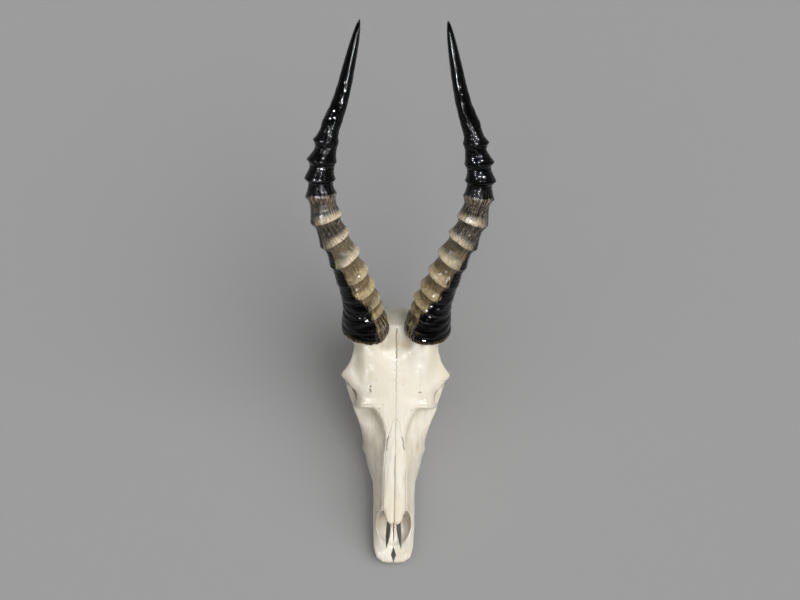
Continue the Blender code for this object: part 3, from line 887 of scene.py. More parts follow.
def roughSkull():
    form = skullForm
    solids = [faceBlock(), bar("skull base", form["skullBase"])]
    solids += [ball("mass", *row) for row in bothSides(form["masses"])]
    for side in sides.values():
        solids += [bar("neck prong", withSide(form["neckProng"], side)), hornStalk(side)]
    bone = oneSkin(together("bone", solids), form["roughVoxel"])

    hollows = [nasalCavity()] + [ball("hollow", *row) for row in bothSides(form["hollows"])]
    hollows += [ball("socket", fromFace(*row[0]), row[1], faceSlope) for row in bothSides(form["faceHollows"])]
    hollows += [eyePit(side) for side in sides.values()]
    hollow = oneSkin(together("hollows", hollows), form["roughVoxel"])
    bone = hollowedOut(bone, hollow)
    print("hollows cut", len(bone.data.polygons))

    late = [bone]
    for side in sides.values():
        late += [nasalBone(side), bar("midline bar", withSide(form["midlineBar"], side))]
        late.append(bar("scroll bone", withSide(form["scrolls"], side)))
        late.append(bar("cheek arch", withSide(form["cheekArch"], side)))
        rim = [(*fromFace(side * x, back, up), radius) for x, back, up, radius in form["eyeRim"]]
        late.append(bar("eye rim", rim, cyclic=True))
    return oneSkin(together("polished_skull", late), form["voxel"])


# The narrow openings of the muzzle, cut last so that they stay sharp
def sharpOpenings(whole):
    form = skullForm
    cuts = [slot("tip notch", form["tipNotch"], 1, 2, 30), slot("midline slit", form["midlineSlit"], 1, 2, 24)]
    cuts += [slot("palate slot", form["palateSlot"], side, 2, 24) for side in sides.values()]
    return hollowedOut(whole, together("openings", cuts))


# The skull's surface as arrays, with the moves a carver would make
class Carving:
    def __init__(self, mesh):
        self.mesh = mesh
        count = len(mesh.vertices)
        self.points = np.empty(count * 3, np.float32)
        mesh.vertices.foreach_get("co", self.points)
        self.points = self.points.reshape(-1, 3).astype(float)
        edges = np.empty(len(mesh.edges) * 2, np.int32)
        mesh.edges.foreach_get("vertices", edges)
        self.edges = edges.reshape(-1, 2)
        self.degree = np.bincount(self.edges.ravel(), minlength=count).astype(float)

    def write(self):
        self.mesh.vertices.foreach_set("co", self.points.astype(np.float32).ravel())
        self.mesh.update()

    def normals(self):
        self.write()
        found = np.empty(len(self.mesh.vertices) * 3, np.float32)
        self.mesh.vertex_normals.foreach_get("vector", found)
        return found.reshape(-1, 3).astype(float)

    def averaged(self, values):
        a, b = self.edges[:, 0], self.edges[:, 1]
        count = len(self.degree)
        columns = values if values.ndim == 2 else values[:, None]
        sums = np.stack(
            [
                np.bincount(a, column[b], count) + np.bincount(b, column[a], count)
                for column in columns.T
            ],
            axis=1,
        )
        mean = sums / np.maximum(self.degree, 1)[:, None]
        return mean if values.ndim == 2 else mean[:, 0]

    def soften(self, weight, times):
        weight = weight[:, None] * 0.5
        for _ in range(times):
            self.points += weight * (self.averaged(self.points) - self.points)

    def face(self):
        p = self.points
        up = np.array(upFace)
        off = np.array(offFace)
        return p[:, 0], p @ up, p @ off


# Distance of points in a plane to a line of points in it
def distanceToLine(points, line):
    best = np.full(len(points), 1e9)
    for a, b in zip(line[:-1], line[1:]):
        span = b - a
        t = np.clip(((points - a) @ span) / max(span @ span, 1e-9), 0, 1)
        best = np.minimum(best, np.linalg.norm(points - (a + t[:, None] * span), axis=1))
    return best


# Bone seams on the face: across and up it, how wide, deep and dark they are and how they wander
seams = (
    {
        "line": ((0.5, 279), (-0.3, 268), (0.5, 258), (0.2, 250), (0.4, 244)),
        "width": 0.6,
        "depth": 1.1,
        "wander": 0.7,
        "dark": 0.6,
    },
    {"line": ((0.3, 252), (0.3, 230), (0, 205)), "width": 0.42, "depth": 0.6, "wander": 0.5, "dark": 0.5},
    {"line": ((0, 206), (0.2, 166)), "width": 0.4, "depth": 0.5, "wander": 0.4, "dark": 0.22},
    {"line": ((0, 168), (0.1, 128)), "width": 0.4, "depth": 0.5, "wander": 0.15, "dark": 0.3},
    {
        "line": ((0, 130), (0.1, 100), (0, 49)),
        "width": 0.42,
        "depth": 0.8,
        "wander": 0.1,
        "dark": 0.75,
    },
    {
        "line": ((1.2, 173), (4.4, 168), (5.4, 160), (7.8, 156), (8.0, 150)),
        "width": 0.4,
        "depth": 0.5,
        "wander": 0.8,
        "dark": 0.25,
        "mirror": True,
    },
    {
        "line": ((8.2, 152), (9.8, 146), (10.0, 141), (11.3, 136)),
        "width": 0.6,
        "depth": 1.0,
        "wander": 0.6,
        "dark": 0.8,
        "mirror": True,
    },
    {
        "line": ((11.3, 136), (12.2, 124), (12.8, 112)),
        "width": 0.4,
        "depth": 0.5,
        "wander": 0.4,
        "dark": 0.2,
        "mirror": True,
    },
    {
        "line": ((12.8, 112), (13.1, 92), (13.3, 74), (13.5, 66)),
        "width": 0.42,
        "depth": 0.8,
        "wander": 0.12,
        "dark": 0.55,
        "mirror": True,
    },
    {
        "line": ((13.2, 76), (15.5, 72), (18, 65), (21.5, 60)),
        "width": 0.4,
        "depth": 0.35,
        "wander": 0.5,
        "dark": 0.28,
        "mirror": True,
    },
    {
        "line": ((28, 189.2), (36, 189.6), (44, 188.6)),
        "width": 0.6,
        "depth": 0.5,
        "wander": 0.3,
        "dark": 0.12,
        "mirror": True,
    },
)


def seamLine(seam, flip):
    keys = np.array(seam["line"], float)
    far = np.concatenate([[0], np.cumsum(np.linalg.norm(np.diff(keys, axis=0), axis=1))])
    at = np.arange(0, far[-1], 1.3)
    across = np.interp(at, far, keys[:, 0])
    ahead = np.interp(at, far, keys[:, 1])
    wander = np.array([noise.noise(Vector((a * 0.35, flip * 7.1, far[-1]))) for a in at])
    return np.stack([flip * (across + seam["wander"] * 2 * wander), ahead], axis=1)


def seamLines():
    for seam in seams:
        for flip in (1, -1) if seam.get("mirror") else (1,):
            yield seam, seamLine(seam, flip)


# Finer faces along the seams, so that they can be cut in as real grooves
def refineSeams(mesh, reach):
    carving = Carving(mesh)
    out, back, up = carving.face()
    normals = carving.normals()
    facing = normals @ np.array(offFace)
    near = np.full(len(out), 1e9)
    for _, line in seamLines():
        low, high = line.min(0) - 6, line.max(0) + 6
        inside = (facing > 0.25) & (up > 8) & (out > low[0]) & (out < high[0])
        inside &= (back > low[1]) & (back < high[1])
        near[inside] = np.minimum(near[inside], distanceToLine(np.stack([out, back], axis=1)[inside], line))
    for x, v, size, _, dark in faceMarks:
        if dark > 0.5:
            gap = np.hypot(out - x, back - v) - size
            near = np.where((facing > 0.25) & (up > 0), np.minimum(near, gap), near)
    close = near < reach
    shape = bmesh.new()
    shape.from_mesh(mesh)
    shape.verts.ensure_lookup_table()
    chosen = [edge for edge in shape.edges if close[edge.verts[0].index] and close[edge.verts[1].index]]
    bmesh.ops.subdivide_edges(shape, edges=chosen, cuts=1, use_grid_fill=True)
    shape.to_mesh(mesh)
    shape.free()


# Dents and bumps on the face: out, back along the face, size, height, darkness; the darkness of the deep dents is
# painted shade inside the holes
faceMarks = (
    (-30.4, 211, 1.05, -2.2, 1.0),
    (-31, 206.8, 1.15, -2.2, 1.0),
    (-29.8, 205.2, 0.9, -1.8, 0.9),
    (-31.2, 204.6, 0.6, -1.2, 0.7),
    (-30.2, 200.5, 2.0, 0.25, 0.0),
    (27.8, 204.4, 1.0, -1.5, 0.75),
    (29.4, 204.2, 1.0, -1.5, 0.7),
    (28.0, 199.2, 2.0, 0.25, 0.0),
    (-15.0, 189.6, 0.8, -0.6, 0.6),
    (-23.2, 219.4, 1.5, -0.2, 0.22),
    (8.6, 213.4, 1.6, -0.2, 0.3),
    (33, 196.3, 1.8, -0.7, 0.22),
    (37, 197, 1.4, -0.7, 0.28),
    (-20, 184.5, 0.9, -0.9, 0.7),
    (19, 183.5, 0.9, -0.9, 0.7),
    (-13, 147, 0.5, -0.5, 0.6),
)

# Stains and painted shade on the face: out, back along the face, half width, half length, strength
stainsAndPaintedShade = (
    (1.5, 264, 4.5, 13, 0.55),
    (6, 258, 6, 9, 0.35),
    (-4, 262, 5, 9, 0.25),
    (29.5, 262, 1.3, 5, 0.9),
    (11, 256, 9, 13, 0.7),
    (-24, 257, 22, 8, 0.45),
    (-30, 236, 16, 16, 0.16),
    (-24, 219, 1.8, 1.5, 0.4),
    (-31, 204, 2.5, 5, 0.3),
    (29, 200, 3, 4, 0.25),
    (27, 138, 1.6, 7, 0.7),
    (-37, 141, 2.5, 8, 0.4),
    # Painted shade: these three darken the left pit before the eye, on the side away from the light
    (-28, 178, 9, 5, 0.35),
    (-21, 163, 5, 14, 0.22),
    (-26, 150, 5, 9, 0.15),
    (28, 184, 10, 2, 0.3),
    (-15.5, 72, 1.8, 9, 0.5),
    (16.5, 68, 1.5, 7, 0.3),
    (13, 13, 5, 3.5, 0.4),
    (-13, 16, 5, 4, 0.2),
    # Painted shade inside the eye sockets
    (-48, 203, 6, 9, 0.45),
    (48, 203, 5, 8, 0.3),
)


# Height of the forehead over the plane of the face, across and up it
def foreheadHeight(side, back):
    widths = skullForm["foreheadWidths"]
    rows = [eased(skullForm["forehead"], back, column + 1) for column in range(len(widths))]
    height = rows[0].copy()
    for i in range(len(widths) - 1):
        share = ramp(widths[i], widths[i + 1], side)
        height = height * (1 - share) + rows[i + 1] * share
    return height


def carveSkull(obj):
    carving = Carving(obj.data)
    carving.soften(np.ones(len(carving.points)), 3)
    out, back, up = carving.face()
    side = np.abs(out)
    facing = carving.normals() @ np.array(offFace)

    # The forehead climbs evenly from the brow to the feet of the horns, with a hollow between these
    share = ramp(205, 216, back) * ramp(268, 260, back) * ramp(49, 41, side)
    share = share * ramp(0.2, 0.5, facing) * ramp(12, 18, up)
    lift = share * (foreheadHeight(side, back) - up)
    cap = eased(skullForm["betweenHorns"], back) + 1.2 * (1 - (side / 12) ** 2)
    lifted = up + lift
    between = ramp(250, 266, back) * ramp(18, 12.5, side) * ramp(-12, -4, up)
    lift += between * (np.minimum(lifted, cap) - lifted)
    carving.points += lift[:, None] * np.array(offFace)
    blended = ramp(200, 210, back) * ramp(285, 272, back) * ramp(52, 46, side)
    carving.soften(blended * ramp(10, 16, up) * ramp(70, 50, up), 16)
    carving.write()
    obj = sharpOpenings(obj)
    mesh = obj.data
    carving = Carving(mesh)
    out, back, up = carving.face()
    side = np.abs(out)

    slopeFoot = ramp(112, 126, back) * ramp(166, 148, back) * ramp(13, 18, side) * ramp(-30, -16, up)
    carving.soften(slopeFoot, 120)
    bridge = ramp(150, 170, back) * ramp(215, 205, back) * ramp(16, 20, up) * ramp(36, 26, side)
    carving.soften(bridge, 25)
    y, z = carving.points[:, 1], carving.points[:, 2]
    braincase = ramp(238, 250, y) * ramp(44, 54, z) * ramp(112, 104, z)
    carving.soften(braincase, 14)
    earRegion = ramp(225, 240, y) * ramp(72, 60, z) * ramp(18, 26, z)
    carving.soften(earRegion, 30)
    jawCorner = ramp(160, 172, y) * ramp(212, 202, y) * ramp(54, 44, z) * ramp(14, 20, z)
    carving.soften(jawCorner * ramp(20, 26, side), 40)

    # Flat ends where the prongs meet the surface
    carving.points[:, 2] = np.maximum(carving.points[:, 2], 0.0)
    carving.write()
    refineSeams(mesh, 2.6)
    refineSeams(mesh, 1.3)

    carving = Carving(mesh)
    normals = carving.normals()
    out, back, up = carving.face()
    side = np.abs(out)
    facing = normals @ np.array(offFace)
    dark_seams_and_hole_shade = np.zeros(len(out))
    onFace = (facing > 0.2) & (up > 6)
    flat = np.stack([out, back], axis=1)
    for seam, line in seamLines():
        low, high = line.min(0) - 4, line.max(0) + 4
        inside = np.flatnonzero(
            onFace & (out > low[0]) & (out < high[0]) & (back > low[1]) & (back < high[1])
        )
        share = np.exp(-((distanceToLine(flat[inside], line) / seam["width"]) ** 2))
        carving.points[inside] -= normals[inside] * (seam["depth"] * share)[:, None]
        dark_seams_and_hole_shade[inside] = np.maximum(dark_seams_and_hole_shade[inside], share * seam["dark"])
    # Deep dents are darkened as painted shade inside the holes
    for x, v, size, height, dark in faceMarks:
        gap = np.hypot(out - x, back - v)
        inside = np.flatnonzero(onFace & (gap < size * 3))
        share = np.exp(-((gap[inside] / size) ** 2))
        carving.points[inside] += normals[inside] * (height * share)[:, None]
        dark_seams_and_hole_shade[inside] = np.maximum(dark_seams_and_hole_shade[inside], dark * share**2)

    # A low knob on each cheek
    knob = np.exp(-(((back - 132.5) / 4) ** 2)) * 1.3 - np.exp(-(((back - 142) / 5) ** 2)) * 0.7
    carving.points += (knob * ramp(25, 30, side) * ramp(-45, -30, up))[:, None] * normals

    # Two low ridges across the back of the head
    for edge, height in ((302.6, 0.7), (299.6, -0.6), (297.6, 0.35)):
        bow = edge - 0.012 * out**2
        rise = height * np.exp(-(((back - bow) / 0.9) ** 2)) * ramp(24, 16, side)
        carving.points += rise[:, None] * normals

    # Slight unevenness of grown bone
    for i, p in enumerate(carving.points):
        rise = 0.28 * noise.noise(Vector(p) * 0.09) + 0.1 * noise.noise(Vector(p) * 0.31)
        carving.points[i] += normals[i] * rise
    carving.points[:, 2] = np.maximum(carving.points[:, 2], 0.0)

    # Nothing stands out past the tip of the solid
    depth = carving.points[:, 1].copy()
    tip = cadLow.y / mm - muzzleAt + 0.1
    carving.points[:, 1] = np.where(depth < tip + 1, tip + np.exp(depth - tip - 1), depth)
    carving.write()
    print("skull carved", len(mesh.vertices), "points")
    return obj, carving, dark_seams_and_hole_shade


# Share of the sky that the bone round a point hides, from a fan of rays
def shelter(carving, reach, rays=14):
    mesh = carving.mesh
    normals = carving.normals()
    tree = BVHTree.FromPolygons(
        [Vector(p) for p in carving.points], [tuple(face.vertices) for face in mesh.polygons]
    )
    goldenAngle = 2.399963
    spread = []
    for i in range(rays):
        lift = math.sqrt(1 - (i + 0.5) / rays)
        turn = i * goldenAngle
        level = math.sqrt(1 - lift * lift)
        spread.append(Vector((level * math.cos(turn), level * math.sin(turn), lift)))
    hidden = np.zeros(len(normals))
    for i, (p, n) in enumerate(zip(carving.points, normals)):
        normal = Vector(n)
        turn = normal.to_track_quat("Z", "Y")
        start = Vector(p) + normal * 0.4
        hidden[i] = sum(tree.ray_cast(start, turn @ ray, reach)[0] is not None for ray in spread) / rays
    for _ in range(3):
        hidden = 0.5 * hidden + 0.5 * carving.averaged(hidden)
    return hidden


def storeValue(mesh, name, values):
    layer = mesh.attributes.new(name, "FLOAT", "POINT")
    layer.data.foreach_set("value", values.astype(np.float32))


def makeSkull():
    whole = roughSkull()
    whole, carving, dark_seams_and_hole_shade = carveSkull(whole)
    hidden = shelter(carving, skullForm["shelterReach"])
    print("shelter measured")
    out, back, up = carving.face()
    # Painted shade from the share of sky the bone hides, weaker between the horns
    painted_shade = ramp(0.35, 0.85, hidden) * 0.85 * (1 - 0.8 * ramp(245, 262, back) * ramp(5, 12, up))
    # A little more painted shade on top of the head between the horns
    betweenHornsShade = 0.08 * ramp(255, 268, back) * ramp(22, 12, np.abs(out)) * ramp(24, 30, up)
    storeValue(whole.data, "painted_shade", np.clip(painted_shade + betweenHornsShade, 0, 1))
    storeValue(whole.data, "dark_seams_and_hole_shade", dark_seams_and_hole_shade)
    facing = carving.normals() @ np.array(offFace)
    # Stains and painted shade from the table above
    stainAndPaintedShade = np.zeros(len(out))
    for x, v, wide, long, strength in stainsAndPaintedShade:
        spread = np.exp(-(((out - x) / wide) ** 2) - ((back - v) / long) ** 2)
        stainAndPaintedShade = np.maximum(stainAndPaintedShade, strength * spread)
    storeValue(whole.data, "stain", stainAndPaintedShade * ramp(0.0, 0.3, facing))
    storeValue(whole.data, "grainy", 0.2 + 0.8 * ramp(200, 160, back))
    nose = ramp(100, 60, back) * ramp(14, 12, np.abs(out)) * ramp(24, 27, up)
    storeValue(whole.data, "butter", np.clip(0.55 * nose, 0, 1))
    settle(whole, boneLook, "skull")


# Horns: an axis with its sizes stored on it, swept into a ringed sheath by nodes
sheath = {
    "Rows": hornForm["rows"],
    "Spokes": hornForm["spokes"],
    "Valley Place": 0.66,
    "Valley Roundness": 1.7,
    "Crest Roundness": 0.10,
    "Ring Wobble": 0.10,
    "Groove Depth": 0.02,
    "Foot Raggedness": 1.2,
    "Foot Tilt": 3.0,
    "Foot Apron": 4.0,
    "Seed": 3.0,
}
# The right horn's foot is scalloped and sits more askew than the left one's
footOfSide = {"right": (7.0, 2.0, 5.0), "left": (1.6, 0.6, 3.4)}


def phaseAlong(along):
    crests = hornForm["crests"]
    return np.interp(along, crests, np.arange(len(crests)))


def hornAxisObject(name, side):
    points, along = hornAxis(side)
    made = meshObject(name, points, [], [(i, i + 1) for i in range(len(points) - 1)])
    mesh = made.data
    ahead = np.gradient(points, axis=0)
    ahead /= np.linalg.norm(ahead, axis=1)[:, None]
    ahead[:6] = ahead[6]
    camera = np.array(offFace)
    front = camera - ahead * (ahead @ camera)[:, None]
    front /= np.linalg.norm(front, axis=1)[:, None]
    outer = np.cross(front, ahead) * side
    outer *= np.sign(outer[:, :1] * side)
    turn = np.radians(eased(hornForm["crestTurn"], np.minimum(along, 300)))
    reach = np.radians(eased(hornFinish["blackReach"], np.minimum(along, 210)))
    radius, depth = eased(hornForm["radius"], along), eased(hornForm["ringDepth"], along)
    sizes = {
        "outer": outer,
        "front": front,
        "ahead": ahead,
        "form": np.stack([radius, phaseAlong(along), depth], 1),
        "extra": np.stack([turn, along, reach], 1),
        "lean": np.stack([eased(hornForm[key], along) for key in ("ringSlant", "ringFocus", "farSide")], 1),
    }
    for key, values in sizes.items():
        layer = mesh.attributes.new(key, "FLOAT_VECTOR", "POINT")
        layer.data.foreach_set("vector", values.astype(np.float32).ravel())
    return made


def sheathTree():
    tree = bpy.data.node_groups.new("ringed horn sheath", "GeometryNodeTree")
    face = tree.interface
    face.new_socket("Geometry", in_out="INPUT", socket_type="NodeSocketGeometry")
    for name, value in sheath.items():
        kind = "NodeSocketInt" if isinstance(value, int) else "NodeSocketFloat"
        face.new_socket(name, in_out="INPUT", socket_type=kind).default_value = value
    face.new_socket("Material", in_out="INPUT", socket_type="NodeSocketMaterial")
    face.new_socket("Geometry", in_out="OUTPUT", socket_type="NodeSocketGeometry")
    given = tree.nodes.new("NodeGroupInput").outputs
    result = tree.nodes.new("NodeGroupOutput")

    axis = addNode(tree, "GeometryNodeMeshToCurve", {0: given["Geometry"]}).outputs[0]
    grid = addNode(
        tree,
        "GeometryNodeMeshGrid",
        {"Size X": 1.0, "Size Y": 1.0, "Vertices X": given["Spokes"], "Vertices Y": given["Rows"]},
    )
    cell = addNode(tree, "ShaderNodeSeparateXYZ", {0: tree.nodes.new("GeometryNodeInputPosition").outputs[0]})
    around = times(tree, plus(tree, cell.outputs[0], 0.5), 2 * math.pi)
    upward = plus(tree, cell.outputs[1], 0.5)
    footShare = calc(tree, "DIVIDE", upward, 0.04, clamp=True)
    climb = calc(tree, "DIVIDE", minus(tree, upward, 0.04), 0.96, clamp=True)

    def sampled(name):
        read = addNode(tree, "GeometryNodeInputNamedAttribute", {"Name": name}, data_type="FLOAT_VECTOR")
        made = tree.nodes.new("GeometryNodeSampleCurve")
        made.mode = "FACTOR"
        made.data_type = "FLOAT_VECTOR"
        made.use_all_curves = True
        tree.links.new(axis, made.inputs["Curves"])
        tree.links.new(climb, made.inputs["Factor"])
        value = next(s for s in made.inputs if s.name == "Value" and s.enabled)
        tree.links.new(next(s for s in read.outputs if s.enabled), value)
        return next(s for s in made.outputs if s.name == "Value" and s.enabled), made.outputs["Position"]

    outer, middle = sampled("outer")
    front, _ = sampled("front")
    ahead, _ = sampled("ahead")
    radius, phase, depth = separated(tree, sampled("form")[0])
    turn, along, reach = separated(tree, sampled("extra")[0])
    ringSlant, focus, farSide = separated(tree, sampled("lean")[0])

    cosine, sine = calc(tree, "COSINE", around), calc(tree, "SINE", around)
    facing = addNode(tree, "ShaderNodeCombineXYZ", {0: cosine, 1: sine, 2: given["Seed"]}).outputs[0]
    climbVector = addNode(tree, "ShaderNodeCombineXYZ", {2: times(tree, along, 0.09)}).outputs[0]
    wobbleAt = calcVector(tree, "ADD", facing, climbVector)
    wobble = minus(tree, noiseNode(tree, wobbleAt, 1.2, 2.0), 0.5)
    slant = times(tree, cosine, ringSlant)
    phase = plus(tree, phase, times(tree, wobble, given["Ring Wobble"]))
    phase = plus(tree, phase, slant)
    share = calc(tree, "FRACT", phase)

    # Sharp crest, gentle slope above it and a steep rise to the next one
    valley = given["Valley Place"]
    above = minus(tree, 1.0, calc(tree, "DIVIDE", share, valley))
    below = calc(tree, "DIVIDE", minus(tree, share, valley), minus(tree, 1.0, valley))
    off = calc(tree, "MAXIMUM", above, below)
    dip = minus(tree, 1.0, calc(tree, "POWER", off, given["Valley Roundness"]))
    dip = calc(tree, "DIVIDE", times(tree, dip, dip), plus(tree, dip, given["Crest Roundness"]))
    toward = calc(tree, "COSINE", minus(tree, around, turn))
    toward = calc(tree, "POWER", times(tree, plus(tree, toward, 1.0), 0.5), focus)
    rest = minus(tree, 1.0, farSide)
    strength = plus(tree, farSide, times(tree, rest, toward))
    sunk = times(tree, times(tree, depth, strength), dip)

    # Fine lengthwise grooves, and low swellings
    grooveAt = calcVector(tree, "ADD", scaled(tree, facing, 9.0), scaled(tree, climbVector, 0.35))
    groove = minus(tree, noiseNode(tree, grooveAt, 1.6, 3.0, 0.6), 0.5)
    groove = times(tree, times(tree, groove, given["Groove Depth"]), 2.0)
    slim = times(tree, radius, 0.1, clamp=True)
    lumps = minus(tree, noiseNode(tree, wobbleAt, 1.9, 0.0), 0.5)
    lumps = times(tree, lumps, step(tree, along, 90.0, 30.0, 0.5, 2.4))
    swell = times(tree, plus(tree, times(tree, wobble, 1.4), lumps), slim)
    thick = minus(tree, radius, sunk)
    thick = plus(tree, thick, times(tree, plus(tree, groove, swell), slim))
    thick = minus(tree, thick, times(tree, slim, 0.35))
    thick = calc(tree, "MAXIMUM", thick, 0.0)

    # The foot: a recess for the stalk, then the rim
    recessShare = step(tree, footShare, 0.0, 0.4, 0.0, 0.88)
    rimShare = step(tree, footShare, 0.7, 1.0, 0.0, 0.12)
    footRadius = plus(tree, recessShare, rimShare)
    sunkFoot = step(tree, footShare, 0.62, 0.42, 0.0, 3.2)
    ragged = minus(tree, noiseNode(tree, scaled(tree, facing, 6.5), 1.0, 2.0, 0.6), 0.6)
    nearFoot = step(tree, along, 9.0, 0.0)
    ragged = times(tree, times(tree, ragged, given["Foot Raggedness"]), nearFoot)
    ragged = times(tree, ragged, times(tree, footShare, footShare))
    towardApron = calc(tree, "MAXIMUM", calc(tree, "COSINE", minus(tree, around, 2.15)), 0.0)
    apron = times(tree, calc(tree, "POWER", towardApron, 3.0), given["Foot Apron"])
    tilt = minus(tree, times(tree, cosine, given["Foot Tilt"]), apron)
    tilt = times(tree, tilt, step(tree, along, 30.0, 0.0))
    shift = scaled(tree, ahead, plus(tree, minus(tree, sunkFoot, ragged), tilt))

    ray = calcVector(tree, "ADD", scaled(tree, outer, cosine), scaled(tree, front, sine))
    spot = calcVector(tree, "ADD", middle, scaled(tree, ray, times(tree, thick, footRadius)))
    spot = calcVector(tree, "ADD", spot, shift)

    # How far inside the pale stretch a point is, in radians; below 0 it is black
    centred = minus(tree, around, plus(tree, times(tree, reach, 0.5), 2.0))
    halfWidth = minus(tree, 2.0, times(tree, reach, 0.5))
    pale = minus(tree, halfWidth, calc(tree, "ABSOLUTE", centred))
    topEnd = times(tree, minus(tree, 9.1, phase), 3.0)
    pale = calc(tree, "MINIMUM", pale, topEnd)
    ringTurn = times(tree, share, 2 * math.pi)
    ringValue = addNode(
        tree,
        "ShaderNodeCombineXYZ",
        {0: calc(tree, "COSINE", ringTurn), 1: calc(tree, "SINE", ringTurn), 2: dip},
    ).outputs[0]

    geometry = grid.outputs[0]
    stored = (
        ("along", "FLOAT", along),
        ("paleness", "FLOAT", pale),
        ("facing", "FLOAT_VECTOR", facing),
        ("ring", "FLOAT_VECTOR", ringValue),
        ("spot", "FLOAT_VECTOR", spot),
    )
    for name, kind, value in stored:
        made = addNode(
            tree, "GeometryNodeStoreNamedAttribute", {"Geometry": geometry, "Name": name}, data_type=kind
        )
        tree.links.new(value, next(s for s in made.inputs if s.name == "Value" and s.enabled))
        geometry = made.outputs[0]
    where = addNode(tree, "GeometryNodeInputNamedAttribute", {"Name": "spot"}, data_type="FLOAT_VECTOR")
    moved = addNode(
        tree,
        "GeometryNodeSetPosition",
        {"Geometry": geometry, "Position": next(s for s in where.outputs if s.enabled)},
    ).outputs[0]
    merged = addNode(tree, "GeometryNodeMergeByDistance", {"Geometry": moved, "Distance": 0.004}).outputs[0]
    whole = addNode(tree, "GeometryNodeRealizeInstances", {0: merged}).outputs[0]
    painted = addNode(tree, "GeometryNodeSetMaterial", {"Geometry": whole, "Material": given["Material"]})
    tree.links.new(painted.outputs[0], result.inputs[0])
    return tree


def makeHorn(sideName, side, tree):
    axis = hornAxisObject(f"{sideName}_horn_sheath", side)
    swept = axis.modifiers.new("sheath", "NODES")
    swept.node_group = tree
    sockets = {item.name: item.identifier for item in tree.interface.items_tree if item.in_out == "INPUT"}
    for name, value in sheath.items():
        swept[sockets[name]] = value
    for name, value in zip(("Foot Raggedness", "Foot Tilt", "Foot Apron"), footOfSide[sideName]):
        swept[sockets[name]] = value
    swept[sockets["Seed"]] = sheath["Seed"] + side
    swept[sockets["Material"]] = hornLook
    horn = asMesh(axis)
    facedOutwards(horn.data, 0.002)
    horn.data.attributes.remove(horn.data.attributes["spot"])
    settle(horn, hornLook, f"{sideName}_horn")
    print(horn.name, len(horn.data.polygons), "faces")


# Cheek teeth
def toothOutline(turns, molar, side):
    squarish = 0.62
    x = np.sign(np.cos(turns)) * np.abs(np.cos(turns)) ** squarish
    y = np.sign(np.sin(turns)) * np.abs(np.sin(turns)) ** squarish
    cheekSide = ramp(0.1, 0.75, x)
    tongueSide = ramp(0.1, 0.75, -x)
    ribs = 3 if molar else 2
    ridge = np.abs(np.cos(y * math.pi * (ribs - 1) / 2)) ** 6 if molar else np.abs(np.cos(y * math.pi)) ** 4
    lobes = np.abs(np.sin(y * math.pi)) ** 0.7 if molar else np.cos(y * math.pi / 2)
    x = x * (1 - cheekSide * 0.11 * (1 - ridge) - tongueSide * 0.16 * (1 - lobes))
    return x * side, y


# Relief of the worn face: enamel stands proud in crescents, dentine lies lower, dark wells between them
def wornFace(x, y, molar):
    wells = (-0.46, 0.46) if molar else (0.0,)
    ridge = np.zeros(len(x))
    well = np.zeros(len(x))
    for middle in wells:
        stretch = 0.3 if molar else 0.5
        bow = x + 0.28 - 0.35 * ((y - middle) / stretch) ** 2
        ring = np.sqrt(((bow - 0.1) / 0.24) ** 2 + ((y - middle) / stretch) ** 2)
        ridge = np.maximum(ridge, np.exp(-(((ring - 1) / 0.24) ** 2)))
        well = np.maximum(well, ramp(0.95, 0.55, ring))
    return ridge, well


def makeTooth(sideName, side, name, out, back, length, width):
    turns = np.linspace(0, 2 * math.pi, cheekTeeth["spokes"], endpoint=False)
    molar = name.startswith("molar")
    unitX, unitY = toothOutline(turns, molar, side)
    rows, height, dentine, stain = [], [], [], []
    for share in np.linspace(0, 1, cheekTeeth["wallSteps"]):
        z = cheekTeeth["rootTop"] * (1 - share)
        scale = float(eased(((0, 0.93), (1.5, 0.965), (4, 1.0), (15, 0.985), (22, 0.84)), z))
        x, y = unitX * width / 2 * scale, unitY * length / 2 * scale
        rows.append(np.stack([x, y, np.full(len(turns), z)], 1))
        gum = ramp(6, 15, z) * 0.9
        inner = ramp(0.3, 0.9, np.abs(unitY)) * 0.55
        dentine.append(np.full(len(turns), 0.15))
        stain.append(np.clip(gum * 0.75 + inner, 0, 1))
    for share in np.linspace(1, 0, cheekTeeth["faceSteps"] + 1)[1:]:
        x, y = unitX * share, unitY * share
        ridge, well = wornFace(x * side, y, molar)
        rim = ramp(0.84, 0.97, share)
        proud = np.maximum(ridge, rim)
        z = 0.75 * (1 - proud) + 1.1 * well
        rows.append(np.stack([x * width / 2 * 0.93, y * length / 2 * 0.93, z], 1))
        dentine.append(np.clip(1 - proud, 0, 1) * 0.9)
        stain.append(np.clip(well * 0.9, 0, 1))
    points = np.concatenate(rows)
    points[:, 0] += side * out
    points[:, 1] += back
    count = len(turns)
    faces = [tuple(range(count))]
    for row in range(len(rows) - 1):
        for i in range(count):
            a, b = row * count + i, row * count + (i + 1) % count
            faces.append((a, b, b + count, a + count))
    made = meshObject(f"{sideName}_{name}_crown", points, faces)
    storeValue(made.data, "dentine", np.concatenate(dentine))
    storeValue(made.data, "stain", np.concatenate(stain))
    facedOutwards(made.data, 0.004)
    settle(made, enamelLook, f"{sideName}_{name}")


# Floor, light and camera
studio = {
    "floorGrey": 0.33,
    "floorSize": 14,
    "cameraBack": 1.8,
    "cameraUpFace": 0.313,
    "cameraOff": 0.03,
    "cameraSide": 0.0036,
    "lens": 69.0,
    "lean": math.radians(0.7),
    "turnLeft": math.radians(1.5),
}


